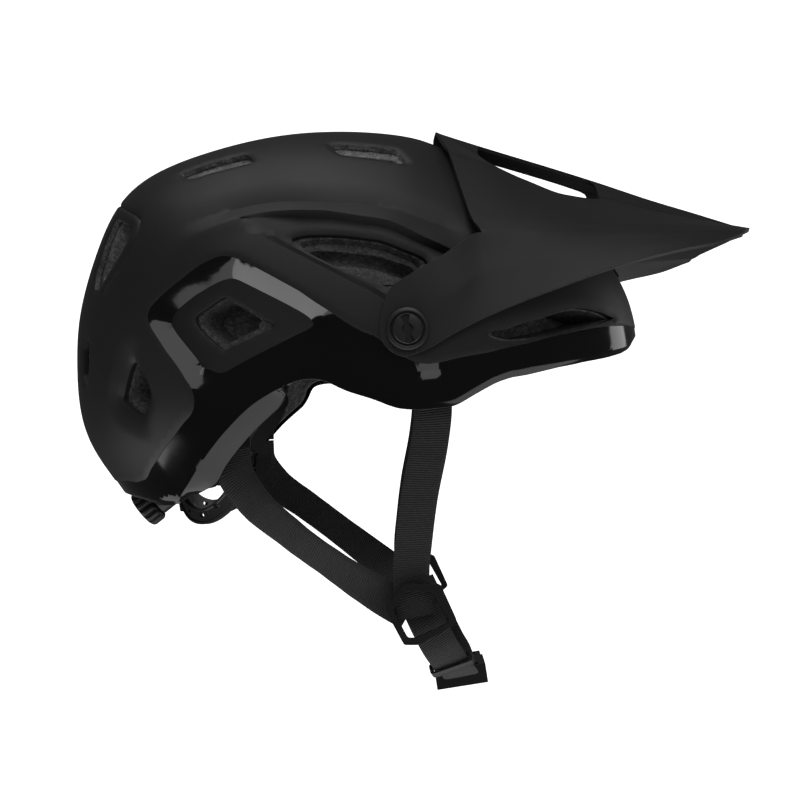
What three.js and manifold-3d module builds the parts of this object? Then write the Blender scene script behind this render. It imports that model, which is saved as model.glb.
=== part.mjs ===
// Cycling helmet with an adjustable visor, occipital cradle and chin-strap buckle.
// Millimetres. X forward, Y to the wearer's left, Z up; origin at the centre of the head cavity.
import * as THREE from 'three';
import { mergeVertices } from 'three/addons/utils/BufferGeometryUtils.js';
import Module from 'manifold-3d';

const wasm = await Module();
wasm.setup();

// ---------------------------------------------------------------- driving dimensions
const DOME_C = [0, -10];          // centre of the outer dome in side view (x, z)
const DOME_HALF_WIDTH = 102;
const DOME_POWER = 2.35;          // superellipse exponent of the cross sections
const DOME_R = [                  // side-view radius every 5 degrees, 0 = forward, 90 = up, 180 = back
  145.8, 144.6, 143.0, 140.3, 136.6, 132.2, 127.3, 122.8, 119.2, 116.6, 114.9, 113.7,
  112.9, 112.8, 113.2, 113.5, 113.1, 112.9, 113.1, 113.8, 114.9, 116.6, 118.6, 121.1,
  124.0, 127.5, 131.7, 136.6, 141.7, 145.9, 147.8, 147.9, 147.5, 147.7, 148.3, 149.0,
  149.3, 149.8, 150.9, 151.7, 151.0, 148.6, 146.4, 146.4, 149.1, 154.2, 161.4, 169.9,
  178.7, 186.9, 194.1, 200.0, 204.3, 206.7, 207.5, 206.8, 204.9, 201.6, 197.4, 192.5,
  187.2, 181.9, 176.8, 171.9, 167.4, 163.3, 159.8, 156.6, 153.9, 151.5, 149.2, 147.4];
const DOME_SEGMENTS = [44, 18];   // around, and from side to side
const SHELL_T = 2.4;              // shell wall
const GAP = 0.4;                  // clearance between shell and liner
const CAVITY = { cx: -4, ax: 104, ay: 80, top: 84, base: -10 };

const PIVOT = [23.8, -4.4];       // visor pivot (x, z)
const VISOR_T = 2.0;
const ARM_Y = 104.6;              // outer face of the visor arms
const CRADLE_PIVOT = [-50, -38];  // (x, z)
const DIAL_FACE = [-117.7, -96.9];
const DIAL_AXIS = [-0.78, -0.626];
const DIAL_R = 10.5;
const DIAL_T = 8.6;
const BELT = { cx: -37, r: 66.5, z0: -80, z1: -71, from: 12, to: 62 };
const WEB_W = 18;                 // webbing width
const WEB_T = 1.6;

// Boundary between the matt upper shell and the gloss lower shell, side view (x, z), rear to front.
const SHELL_SPLIT = [[-165, -79], [-115.7, -78.8], [-105.5, -77], [-102.1, -71.8], [-93.1, -60.2],
  [-83.2, -48.5], [-78.6, -43.5], [-77.4, -37.5], [-78.3, -33.7], [-82.2, -27.5], [-91.8, -14.1],
  [-100.2, -2.9], [-101.6, 2.4], [-98.8, 8.6], [-84.6, 20.2], [-72.3, 28.2], [-65.9, 30.7],
  [-59.1, 31], [-50, 26.4], [-36, 18.8], [-21.3, 9.7], [-5.4, -0.6], [10, -8.6], [18, -15.1],
  [27.3, -19.7], [33.4, -20.7], [48.4, -17.3], [62.7, -14.7], [82, -10.4], [97, -6.3],
  [112.8, -2], [129.1, 1.2], [147.6, -0.4], [170, -0.4]];
// Lower rim of the shell, side view, rear to front.
const RIM = [[-165, -86.4], [-121, -86.4], [-112.4, -88.9], [-98.2, -91.3], [-89.5, -89.7], [-81.2, -86.8],
  [-73.2, -82.6], [-67.9, -73.7], [-57.8, -61.2], [-48, -50.7], [-40, -43.4], [-37.8, -39.8],
  [-35.9, -34.2], [-31.2, -29.5], [-24, -28.3], [-17.1, -28.6], [-3, -33.8], [13.3, -39.8],
  [25, -42.6], [34.3, -42.7], [46.1, -41.3], [57.9, -34.7], [67.5, -29.5], [82, -26.5],
  [102.1, -21.1], [123.7, -16.8], [137.8, -11.2], [145, -6.6], [170, -6.2]];
// Vents in dome coordinates [angle, polar angle from the side], degrees.
const VENT_REAR_TOP = [[136.2, 61.5], [129.2, 61.9], [120.6, 60.5], [119.8, 54.4], [126, 54.6], [134.4, 55.7], [136.3, 58]];
const VENT_FRONT_TOP = [[98.8, 59.6], [89.8, 59.4], [79.4, 58.9], [77, 55.2], [75.2, 51], [81.8, 50.8], [90, 51.6], [96.2, 53.6]];
const VENT_SIDE = [[122.6, 24.9], [108.1, 24.8], [88.4, 23.8], [67.3, 23.5], [50.7, 24.2], [47.5, 20.5],
  [55.5, 12.6], [77.5, 11.7], [102.7, 14.5], [117.6, 19.1]];
const VENT_DIAMOND = [[170.4, 30.3], [164.3, 26.7], [160.9, 24.2], [162, 20.4], [166.4, 14.9], [168.7, 12.9],
  [176, 16.2], [182.7, 21.9], [183.4, 23.5], [175.9, 28.5]];
const VENT_REAR_LOW = [[184.7, 44.5], [190.8, 40.2], [194.6, 39.6], [198.6, 44.3], [196.8, 47.6], [192.9, 50], [186.5, 46.6]];
const VENT_REAR_SLOT = [[179.1, 67.4], [179.1, 63.7], [188.3, 65.4], [186, 69]];
const VENT_REAR_WINDOW = [[152.6, 82.5], [152.6, 56], [160.4, 57.6], [167.9, 63.3], [167.9, 80]];
const VENT_FRONT = [[3.8, 21.4], [6.1, 27.7], [8.7, 39.9], [9.2, 44.9], [8.6, 49.6], [6.2, 58.6], [4.4, 51.5], [2.4, 38.6], [0.3, 26], [1.6, 21.8]];

// ---------------------------------------------------------------- helpers
const rad = (a) => (a * Math.PI) / 180;
const v3 = (x, y, z) => new THREE.Vector3(x, y, z);

function domeRadius(aDeg) {        // uniform cubic B-spline through the radius table
  const n = DOME_R.length, f = (((aDeg % 360) + 360) % 360) / 5, i = Math.floor(f), u = f - i;
  const p = [-1, 0, 1, 2].map((k) => DOME_R[(i + k + n) % n]);
  return (p[0] * (1 - u) ** 3 + p[1] * (3 * u ** 3 - 6 * u * u + 4)
    + p[2] * (-3 * u ** 3 + 3 * u * u + 3 * u + 1) + p[3] * u ** 3) / 6;
}
function domePoint(aDeg, tDeg, d) { // t = 0 on the left pole, 90 on the mid-plane, 180 on the right pole
  const c = Math.cos(rad(tDeg)), s = Math.max(0, Math.sin(rad(tDeg)));
  const r = s ** (2 / DOME_POWER) * (domeRadius(aDeg) + d);
  return v3(DOME_C[0] + r * Math.cos(rad(aDeg)),
    Math.sign(c) * Math.abs(c) ** (2 / DOME_POWER) * (DOME_HALF_WIDTH + d),
    DOME_C[1] + r * Math.sin(rad(aDeg)));
}

function solid(geometry) {         // closed three.js geometry -> manifold solid facing out
  let g = geometry.clone();
  g.deleteAttribute('normal');
  g.deleteAttribute('uv');
  g = mergeVertices(g, 1e-4);
  let tri = Array.from(g.index.array);
  const pos = g.attributes.position.array;
  const keep = [];
  for (let i = 0; i < tri.length; i += 3) {
    if (tri[i] !== tri[i + 1] && tri[i + 1] !== tri[i + 2] && tri[i] !== tri[i + 2]) keep.push(tri[i], tri[i + 1], tri[i + 2]);
  }
  tri = keep;
  let vol = 0;
  for (let i = 0; i < tri.length; i += 3) {
    const [a, b, c] = [tri[i] * 3, tri[i + 1] * 3, tri[i + 2] * 3];
    vol += pos[a] * (pos[b + 1] * pos[c + 2] - pos[b + 2] * pos[c + 1])
      + pos[a + 1] * (pos[b + 2] * pos[c] - pos[b] * pos[c + 2])
      + pos[a + 2] * (pos[b] * pos[c + 1] - pos[b + 1] * pos[c]);
  }
  if (vol < 0) for (let i = 0; i < tri.length; i += 3) [tri[i], tri[i + 1]] = [tri[i + 1], tri[i]];
  return new wasm.Manifold(new wasm.Mesh({ numProp: 3, vertProperties: Float32Array.from(pos), triVerts: Uint32Array.from(tri) }));
}
function geometryOf(m) {
  const parts = m.decompose().sort((a, b) => b.volume() - a.volume());
  const mesh = parts[0].getMesh();
  const g = new THREE.BufferGeometry();
  const p = new Float32Array(mesh.numVert * 3);
  for (let i = 0; i < mesh.numVert; i++) for (let k = 0; k < 3; k++) p[i * 3 + k] = mesh.vertProperties[i * mesh.numProp + k];
  g.setAttribute('position', new THREE.BufferAttribute(p, 3));
  g.setIndex(new THREE.BufferAttribute(Uint32Array.from(mesh.triVerts), 1));
  g.computeVertexNormals();
  return g;
}
const join = (...s) => s.reduce((a, b) => a.add(b));
const cut = (a, ...s) => s.reduce((m, b) => m.subtract(b), a);
const mirror = (m) => m.mirror([0, 1, 0]);

function domeSolid(d) {
  const g = new THREE.SphereGeometry(1, DOME_SEGMENTS[0], DOME_SEGMENTS[1]);
  const p = g.attributes.position;
  for (let i = 0; i < p.count; i++) {
    const n = v3(p.getX(i), p.getY(i), p.getZ(i));
    const t = (Math.acos(Math.max(-1, Math.min(1, n.y))) * 180) / Math.PI;
    const a = Math.hypot(n.x, n.z) < 1e-6 ? 0 : (Math.atan2(n.z, n.x) * 180) / Math.PI;
    const q = domePoint(a, t, d);
    p.setXYZ(i, q.x, q.y, q.z);
  }
  return solid(g);
}
function sidePrism(outline, y0 = -150, y1 = 150) {  // (x, z) outline swept along Y
  const shape = new THREE.Shape(outline.map(([x, z]) => new THREE.Vector2(x, z)));
  const g = new THREE.ExtrudeGeometry(shape, { depth: y1 - y0, bevelEnabled: false, steps: 1, curveSegments: 8 });
  g.rotateX(Math.PI / 2);           // local z -> -Y
  g.translate(0, y1, 0);
  return solid(g);
}
function offsetLine(line, d) {      // shift an open polyline to its left by d
  return line.map((p, i) => {
    const a = line[Math.max(0, i - 1)], b = line[Math.min(line.length - 1, i + 1)];
    const l = Math.hypot(b[0] - a[0], b[1] - a[1]);
    return [p[0] - (b[1] - a[1]) / l * d, p[1] + (b[0] - a[0]) / l * d];
  });
}
function radialCutter(loop, dIn, dOut) {            // vent cutter along the dome radius, left side
  const shape = new THREE.Shape(loop.map(([a, t]) => new THREE.Vector2(a, t)));
  const g = new THREE.ExtrudeGeometry(shape, { depth: 1, bevelEnabled: false, steps: 1 });
  const p = g.attributes.position;
  for (let i = 0; i < p.count; i++) {
    const q = domePoint(p.getX(i), p.getY(i), p.getZ(i) > 0.5 ? dOut : dIn);
    p.setXYZ(i, q.x, q.y, q.z);
  }
  return solid(g);
}
function growLoop(loop, d) {        // enlarge a closed loop about its centroid by d degrees
  const c = [0, 1].map((k) => loop.reduce((s, q) => s + q[k], 0) / loop.length);
  return loop.map((q) => {
    const l = Math.hypot(q[0] - c[0], q[1] - c[1]);
    return [q[0] + (q[0] - c[0]) / l * d, q[1] + (q[1] - c[1]) / l * d];
  });
}
function box(x0, x1, y0, y1, z0, z1) {
  return solid(new THREE.BoxGeometry(x1 - x0, y1 - y0, z1 - z0).translate((x0 + x1) / 2, (y0 + y1) / 2, (z0 + z1) / 2));
}
function cylinderY(x, z, r, y0, y1, n = 20) {
  return solid(new THREE.CylinderGeometry(r, r, y1 - y0, n).translate(x, (y0 + y1) / 2, z));
}
function sweep(sections, closed = false) {          // loft of equal convex sections (arrays of Vector3)
  const n = sections[0].length, m = sections.length, pos = [], idx = [];
  sections.forEach((s) => s.forEach((q) => pos.push(q.x, q.y, q.z)));
  const quads = closed ? m : m - 1;
  for (let i = 0; i < quads; i++) for (let j = 0; j < n; j++) {
    const a = i * n + j, b = i * n + ((j + 1) % n), c = ((i + 1) % m) * n + j, d = ((i + 1) % m) * n + ((j + 1) % n);
    idx.push(a, b, d, a, d, c);
  }
  if (!closed) for (let j = 1; j < n - 1; j++) {
    idx.push(0, j + 1, j);
    const o = (m - 1) * n;
    idx.push(o, o + j, o + j + 1);
  }
  const g = new THREE.BufferGeometry();
  g.setAttribute('position', new THREE.BufferAttribute(new Float32Array(pos), 3));
  g.setIndex(idx);
  return solid(g);
}
function ribbon(path, widthDirs, w = WEB_W, t = WEB_T) {
  return sweep(path.map((p, i) => {
    const a = path[Math.max(0, i - 1)], b = path[Math.min(path.length - 1, i + 1)];
    const tan = b.clone().sub(a).normalize();
    const wd = widthDirs[i].clone().addScaledVector(tan, -widthDirs[i].dot(tan)).normalize();
    const n = tan.clone().cross(wd);
    return [[-1, -1], [1, -1], [1, 1], [-1, 1]].map(([u, k]) => p.clone().addScaledVector(wd, u * w / 2).addScaledVector(n, k * t / 2));
  }));
}
function thicken(points, faces, t) {                // open surface -> closed plate, inner skin at t behind it
  const nrm = points.map(() => v3(0, 0, 0));
  faces.forEach(([a, b, c]) => {
    const k = points[b].clone().sub(points[a]).cross(points[c].clone().sub(points[a]));
    [a, b, c].forEach((i) => nrm[i].add(k));
  });
  const N = points.length, pos = [];
  points.forEach((q) => pos.push(q.x, q.y, q.z));
  points.forEach((q, i) => { const r = q.clone().addScaledVector(nrm[i].normalize(), -(Array.isArray(t) ? t[i] : t)); pos.push(r.x, r.y, r.z); });
  const idx = [], edge = new Map();
  faces.forEach(([a, b, c]) => {
    idx.push(a, b, c, a + N, c + N, b + N);
    [[a, b], [b, c], [c, a]].forEach(([i, j]) => { if (edge.has(`${j},${i}`)) edge.delete(`${j},${i}`); else edge.set(`${i},${j}`, [i, j]); });
  });
  edge.forEach(([i, j]) => idx.push(i, i + N, j + N, i, j + N, j));
  const g = new THREE.BufferGeometry();
  g.setAttribute('position', new THREE.BufferAttribute(new Float32Array(pos), 3));
  g.setIndex(idx);
  return solid(g);
}
function deformBox(nu, nv, nw, fn) {                // unit box (u, v, w in 0..1) mapped by fn
  const g = new THREE.BoxGeometry(1, 1, 1, nu, nv, nw);
  const p = g.attributes.position;
  for (let i = 0; i < p.count; i++) {
    const q = fn(p.getX(i) + 0.5, p.getY(i) + 0.5, p.getZ(i) + 0.5);
    p.setXYZ(i, q.x, q.y, q.z);
  }
  return solid(g);
}

const root = new THREE.Group();
root.name = 'cycling_helmet';
function node(name, m, color, roughness = 0.6, metalness = 0) {
  const mesh = new THREE.Mesh(geometryOf(m), new THREE.MeshStandardMaterial({ color, roughness, metalness }));
  mesh.name = name;
  root.add(mesh);
  return m;
}
const MATT = 0x212224, GLOSS = 0x101113, FOAM = 0x2a2a2c, WEB = 0x262628, PLASTIC = 0x1b1b1d, PAD = 0x303033, METAL = 0x2c2d30;

// ---------------------------------------------------------------- shells and liner
const skin = cut(domeSolid(0), domeSolid(-SHELL_T));
const vents = [];
const both = (m) => { vents.push(m, mirror(m)); };
[VENT_REAR_TOP, VENT_FRONT_TOP, VENT_SIDE, VENT_REAR_LOW, VENT_REAR_SLOT, VENT_REAR_WINDOW, VENT_FRONT].forEach((v) => both(radialCutter(v, -9, 9)));
const diamond = radialCutter(VENT_DIAMOND, -9, 9);
both(diamond);
const pivotHoles = [cylinderY(PIVOT[0], PIVOT[1], 5.9, 80, 120), cylinderY(PIVOT[0], PIVOT[1], 5.9, -120, -80)];

const above = (line) => sidePrism([...line, [170, 160], [-165, 160]]);
const upper = cut(skin.intersect(above(SHELL_SPLIT)), ...vents, ...pivotHoles);
node('upper_shell', upper, MATT, 0.75);

const lower = cut(cut(skin.intersect(above(RIM)), above(offsetLine(SHELL_SPLIT, -0.35))), ...vents, ...pivotHoles);
node('lower_shell', lower, GLOSS, 0.2);

// Head cavity: half ellipsoid above the base, straight walls below it.
const cavityProfile = [[0, -150], [1, -150]];
for (let i = 0; i <= 9; i++) cavityProfile.push([Math.cos(rad(i * 10)), CAVITY.base + CAVITY.top * Math.sin(rad(i * 10))]);
cavityProfile[cavityProfile.length - 1][0] = 0;
const cavityGeo = new THREE.LatheGeometry(cavityProfile.map(([r, z]) => new THREE.Vector2(r, z)), 40);
cavityGeo.rotateX(Math.PI / 2);
cavityGeo.scale(CAVITY.ax, CAVITY.ay, 1);
cavityGeo.translate(CAVITY.cx, 0, 0);
const cavity = solid(cavityGeo);
const cavityPoint = (phi, s, d) => {                // s >= 0: elevation in degrees, s < 0: mm below the base
  const e = s >= 0 ? rad(s) : 0;
  return v3(CAVITY.cx + (CAVITY.ax - d) * Math.cos(e) * Math.cos(rad(phi)),
    (CAVITY.ay - d) * Math.cos(e) * Math.sin(rad(phi)),
    CAVITY.base + (s >= 0 ? (CAVITY.top - d) * Math.sin(e) : s));
};

const linerVents = [];
const lboth = (loop, grow, dIn) => { const m = radialCutter(growLoop(loop, grow), dIn, 9); linerVents.push(m, mirror(m)); };
lboth(VENT_REAR_TOP, -1.2, -60);
lboth(VENT_FRONT_TOP, -1.2, -60);
lboth([[118, 22.6], [88.4, 21.8], [58, 21.6], [57, 15.6], [77.5, 14], [102.7, 17], [114, 19.5]], 0, -40);
lboth(VENT_FRONT, -1.5, -16);
lboth(VENT_REAR_WINDOW, -2.5, -55);
lboth(VENT_REAR_LOW, -1.5, -12);
lboth(VENT_DIAMOND, 1.2, -9);
lboth(VENT_REAR_SLOT, 1.0, -8);
const foamBottom = offsetLine(RIM, 1.2);
const pockets = [
  box(25, 47, 82, 86, -70, -22), box(25, 47, -86, -82, -70, -22),
  box(-74, -50, 66, 70, -100, -52), box(-74, -50, -70, -66, -100, -52),
  box(-170, -84, -26, 26, -130, -58),
  cylinderY(CRADLE_PIVOT[0], CRADLE_PIVOT[1], 3.2, 60, 82.5, 14), cylinderY(CRADLE_PIVOT[0], CRADLE_PIVOT[1], 3.2, -82.5, -60, 14),
  cylinderY(PIVOT[0], PIVOT[1], 5.9, 87.6, 120), cylinderY(PIVOT[0], PIVOT[1], 5.9, -120, -87.6),
];
const liner = cut(domeSolid(-SHELL_T - GAP).intersect(above(foamBottom)), cavity, ...linerVents, ...pockets);
node('foam_liner', liner, FOAM, 0.95);

// ---------------------------------------------------------------- comfort pads inside the cavity
const pad = (name, fn, nu, nv) => node(name, deformBox(nu, nv, 1, fn), PAD, 1);
pad('pad_brow', (u, v, w) => cavityPoint(-58 + 116 * u, v < 0.5 ? -5 + 10 * v : 22 * (v - 0.5), 0.5 + 6 * w), 14, 2);
pad('pad_crown', (u, v, w) => {
  const l = rad(42 + 96 * u), m = rad(-9 + 18 * v), d = 0.6 + 6 * w;
  return v3(CAVITY.cx + (CAVITY.ax - d) * Math.cos(m) * Math.cos(l), (CAVITY.ay - d) * Math.sin(m), CAVITY.base + (CAVITY.top - d) * Math.cos(m) * Math.sin(l));
}, 12, 2);
for (const [s, side] of [[1, 'left'], [-1, 'right']]) {
  pad(`pad_side_${side}`, (u, v, w) => cavityPoint(s * (74 + 36 * u), v < 0.5 ? -4 + 8 * v : 40 * (v - 0.5), 0.5 + 6 * w), 6, 2);
}

// ---------------------------------------------------------------- visor
const lerpRow = (row, f) => {       // row: [x, |y|, z] points; f: fraction of the x range
  const x = row[0][0] + (row[row.length - 1][0] - row[0][0]) * f;
  let i = 0;
  while (i < row.length - 2 && x > row[i + 1][0]) i++;
  const [a, b] = [row[i], row[i + 1]], k = (x - a[0]) / (b[0] - a[0]);
  return [x, a[1] + (b[1] - a[1]) * k, a[2] + (b[2] - a[2]) * k];
};
// rows of the half visor from the lower edge up to the centre line
const ROW_ROOF = [
  [[62, 102.6, 2], [95.4, 98.4, 15.6], [124.2, 94, 26.2], [153.6, 88, 34.4], [174.4, 80.5, 39.1], [188, 68, 44]],
  [[60.5, 98.6, 23], [95.4, 93.5, 29.5], [124, 88.5, 34.8], [153.6, 82.5, 39.2], [174.4, 75.5, 42], [189, 66, 44.8]],
  [[59.3, 93.6, 42.2], [90, 88.5, 42.5], [116.4, 83, 42.6], [150, 77, 43.9], [174, 71, 45.4], [190.4, 64, 45.9]],
  [[54.4, 89.8, 48.6], [86, 83.5, 48.6], [117, 76.5, 48], [150, 68, 48.4], [175, 62, 48.6], [192.4, 57, 47.4]],
  [[44.6, 60.5, 85.4], [64, 57.2, 80.3], [82, 53.5, 73.2], [104, 44, 66.6], [124, 31.5, 65.4], [148, 33, 60], [172, 40, 54.4], [197, 45, 49.4]],
  [[39.8, 25, 101.2], [61, 24.5, 89.6], [82, 24, 82.6], [104, 23.5, 75.6], [126, 23, 67.6], [148, 22, 61.6], [174, 20, 55.6], [200.8, 22, 51]],
  [[38.8, 18, 102.6], [72.6, 17, 92.4], [98.7, 16.4, 84.6], [125, 16, 76.4], [151, 15.6, 67.8], [177, 15.4, 60], [202.4, 15, 52]],
  [[38.6, 0, 103.2], [72.6, 0, 93], [98.7, 0, 85.2], [125, 0, 77], [151, 0, 68.2], [177, 0, 60.4], [203, 0, 52.4]]];
const ROOF_S = [0, 0.065, 0.13, 0.26, 0.39, 0.52, 0.66, 0.8, 0.92, 1];
const SLOT = [2, 5];                // stations between which the two strips under the centre band are open
const ROW_ARM = [                   // arm part of the three lowest rows, pivot end to the first roof station
  [[23.8, 104.6, -17.2], [33, 104.6, -13.8], [43.6, 104.4, -7.6]],
  [[19, 104.6, -3], [31, 104.6, 4.4], [46, 103.2, 13]],
  [[14.6, 104.6, 12.6], [24, 104.5, 20.4], [40, 101.6, 30.2]]];
function visorHalf() {
  const pts = [], faces = [], thick = [], id = new Map();
  const put = (key, x, y, z, t) => { if (!id.has(key)) { id.set(key, pts.length); pts.push(v3(x, y, z)); thick.push(t); } return id.get(key); };
  for (let r = 0; r < 8; r++) {
    if (r < 3) ROW_ARM[r].forEach(([x, y, z], i) => put(`${r},${i - 3}`, x, y, z, VISOR_T));
    ROOF_S.forEach((f, i) => { const [x, y, z] = lerpRow(ROW_ROOF[r], f); put(`${r},${i}`, x, y, z, i < 2 && r > 3 ? 1.5 : VISOR_T); });
  }
  for (let r = 0; r < 7; r++) for (let i = r < 2 ? -3 : 0; i < ROOF_S.length - 1; i++) {
    if ((r === 4 || r === 5) && i >= SLOT[0] && i < SLOT[1]) continue;
    const a = id.get(`${r},${i}`), b = id.get(`${r},${i + 1}`), c = id.get(`${r + 1},${i + 1}`), d = id.get(`${r + 1},${i}`);
    faces.push([a, c, b], [a, d, c]);                 // left side, facing out
  }
  return { pts, faces, thick };
}
function visorPlate() {
  const h = visorHalf(), pts = [...h.pts], thick = [...h.thick], map = h.pts.map((p, i) => {
    if (Math.abs(p.y) < 1e-6) return i;
    pts.push(v3(p.x, -p.y, p.z)); thick.push(h.thick[i]);
    return pts.length - 1;
  });
  return thicken(pts, [...h.faces, ...h.faces.map(([a, b, c]) => [map[a], map[c], map[b]])], thick);
}
const eyeL = cylinderY(PIVOT[0], PIVOT[1], 12.8, ARM_Y - 2.2, ARM_Y, 28);
const holeL = cylinderY(PIVOT[0], PIVOT[1], 3.0, 90, 120, 16);
const visor = cut(join(visorPlate(), eyeL, mirror(eyeL)), holeL, mirror(holeL));
node('visor', visor, MATT, 0.75);

for (const [s, side] of [[1, 'left'], [-1, 'right']]) {
  const put = (m) => (s > 0 ? m : mirror(m));
  // threaded boss buried in the liner, flush with the shell
  node(`visor_boss_${side}`, put(cut(cylinderY(PIVOT[0], PIVOT[1], 5.5, 88, 101.6, 18), cylinderY(PIVOT[0], PIVOT[1], 3.0, 92, 110, 16))), PLASTIC, 0.5);
  // thumb screw with a coin slot
  const head = join(cylinderY(PIVOT[0], PIVOT[1], 10, 104.9, 107.6, 28), cylinderY(PIVOT[0], PIVOT[1], 8.8, 107.5, 108.5, 28), cylinderY(PIVOT[0], PIVOT[1], 2.6, 94, 105, 14));
  const slotShape = [[-2.2, -6.6], [2.2, -6.6], [1.2, -2], [2.6, 0], [1.2, 2], [2.2, 6.6], [-2.2, 6.6], [-1.2, 2], [-2.6, 0], [-1.2, -2]]
    .map(([x, z]) => [PIVOT[0] + x, PIVOT[1] + z]);
  node(`visor_screw_${side}`, put(cut(head, sidePrism(slotShape, 106.6, 112))), METAL, 0.45);
}
// small stop block on the nose of the shell that the centre of the visor comes down to
node('visor_stop', deformBox(2, 4, 1, (u, v, w) => domePoint(15.5 + 4.2 * u, 86.4 + 7.2 * v, 0.4 + 1.4 * w)), PLASTIC, 0.6);

// ---------------------------------------------------------------- occipital cradle
const CR = { cx: -4, a: 94, b: 70 };
const cradlePoint = (psi, z, d) => { // psi = 0 at the back, positive to the left; taper under the occiput
  const k = z < -70 ? (z + 70) * 0.16 : 0;
  return v3(CR.cx - (CR.a + d + k) * Math.cos(rad(psi)), (CR.b + d + k) * Math.sin(rad(psi)), z);
};
function cradleBand(line, width, t, closed) {       // line: [psi, z]
  const n = line.length;
  return sweep(line.map((q, i) => {
    const a = line[closed ? (i + n - 1) % n : Math.max(0, i - 1)], b = line[closed ? (i + 1) % n : Math.min(n - 1, i + 1)];
    const k = 1.35;                                  // mm per degree along the band surface, about
    const dx = (b[0] - a[0]) * k, dz = b[1] - a[1], l = Math.hypot(dx, dz);
    const px = -dz / l / k, pz = dx / l;
    return [[-1, 0], [1, 0], [1, 1], [-1, 1]].map(([u, w]) => cradlePoint(q[0] + px * u * width / 2, q[1] + pz * u * width / 2, w * t));
  }), closed);
}
const ringLine = [[11, -86], [18, -93.5], [28, -97.5], [38, -96.5], [47, -90], [53, -81], [55.5, -71], [53.5, -62], [46, -57.5], [36, -60], [25, -67], [15, -76]];
const ringL = cradleBand(ringLine, 8, 2.2, true);
const armL = join(cradleBand([[51, -62], [56, -54], [59.5, -46], [60.7, -41]], 9, 2.2, false),
  cylinderY(CRADLE_PIVOT[0], CRADLE_PIVOT[1], 6.2, 60.2, 62.4, 18));
const bridge = deformBox(6, 2, 1, (u, v, w) => cradlePoint(-13 + 26 * u, -96 + 26 * v, 3 * w));
const stem = deformBox(2, 4, 1, (u, v, w) => cradlePoint(-5 + 10 * u, -72 + 44 * v, 2.2 * w));
function alongDial(r0, r1, s0, s1, n = 24) {         // cylinder on the dial axis; s measured inward from the dial's outer face
  const dir = v3(-DIAL_AXIS[0], 0, -DIAL_AXIS[1]).normalize();
  const g = new THREE.CylinderGeometry(r1, r0, s1 - s0, n);
  g.applyQuaternion(new THREE.Quaternion().setFromUnitVectors(v3(0, 1, 0), dir));
  const c = v3(DIAL_FACE[0], 0, DIAL_FACE[1]).addScaledVector(dir, (s0 + s1) / 2);
  g.translate(c.x, c.y, c.z);
  return solid(g);
}
const housing = alongDial(8.6, 8.6, DIAL_T + 0.4, 24.2, 20);
const pegHoleL = cylinderY(CRADLE_PIVOT[0], CRADLE_PIVOT[1], 3.0, 40, 90, 16);
const cradle = cut(join(ringL, mirror(ringL), armL, mirror(armL), bridge, stem, housing),
  pegHoleL, mirror(pegHoleL), alongDial(2.9, 2.9, 0, 20, 14));
node('cradle', cradle, PLASTIC, 0.55);

for (const [s, side] of [[1, 'left'], [-1, 'right']]) {
  const put = (m) => (s > 0 ? m : mirror(m));
  node(`cradle_peg_${side}`, put(join(cylinderY(CRADLE_PIVOT[0], CRADLE_PIVOT[1], 4.6, 55.0, 57.4, 16),
    cylinderY(CRADLE_PIVOT[0], CRADLE_PIVOT[1], 2.6, 57.3, 82, 14), cylinderY(CRADLE_PIVOT[0], CRADLE_PIVOT[1], 4.6, 65.2, 68.4, 16))), PLASTIC, 0.5);
  // sliding size belt driven by the dial
  node(`fit_belt_${side}`, put(deformBox(10, 1, 1, (u, v, w) => {
    const b = rad(BELT.from + (BELT.to - BELT.from) * u), r = BELT.r - 0.5 + w;
    return v3(BELT.cx - r * Math.cos(b), r * Math.sin(b), BELT.z0 + (BELT.z1 - BELT.z0) * v);
  })), PLASTIC, 0.5);
}
// guide block on the liner behind the stem of the cradle
node('height_guide', box(-106.2, -101.8, -9, 9, -52, -34), PLASTIC, 0.5);

// ribbed fit dial with its shaft
const dialDir = v3(-DIAL_AXIS[0], 0, -DIAL_AXIS[1]).normalize();
let knob = alongDial(DIAL_R - 1.4, DIAL_R, 0, 1.6, 32);
knob = knob.add(alongDial(DIAL_R, DIAL_R, 1.5, DIAL_T, 32)).add(alongDial(2.5, 2.5, DIAL_T - 1, 17, 12));
const grooves = [];
for (let i = 0; i < 12; i++) {
  const a = rad(i * 30 + 15);
  const side = v3(0, 1, 0), up = dialDir.clone().cross(side).normalize();
  const c = v3(DIAL_FACE[0], 0, DIAL_FACE[1]).addScaledVector(dialDir, 3)
    .addScaledVector(side, Math.cos(a) * (DIAL_R + 0.5)).addScaledVector(up, Math.sin(a) * (DIAL_R + 0.5));
  const g = new THREE.CylinderGeometry(1.3, 1.3, 9, 6);
  g.applyQuaternion(new THREE.Quaternion().setFromUnitVectors(v3(0, 1, 0), dialDir));
  g.translate(c.x, c.y, c.z);
  grooves.push(solid(g));
}
node('fit_dial', cut(knob, ...grooves), PLASTIC, 0.5);

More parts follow.
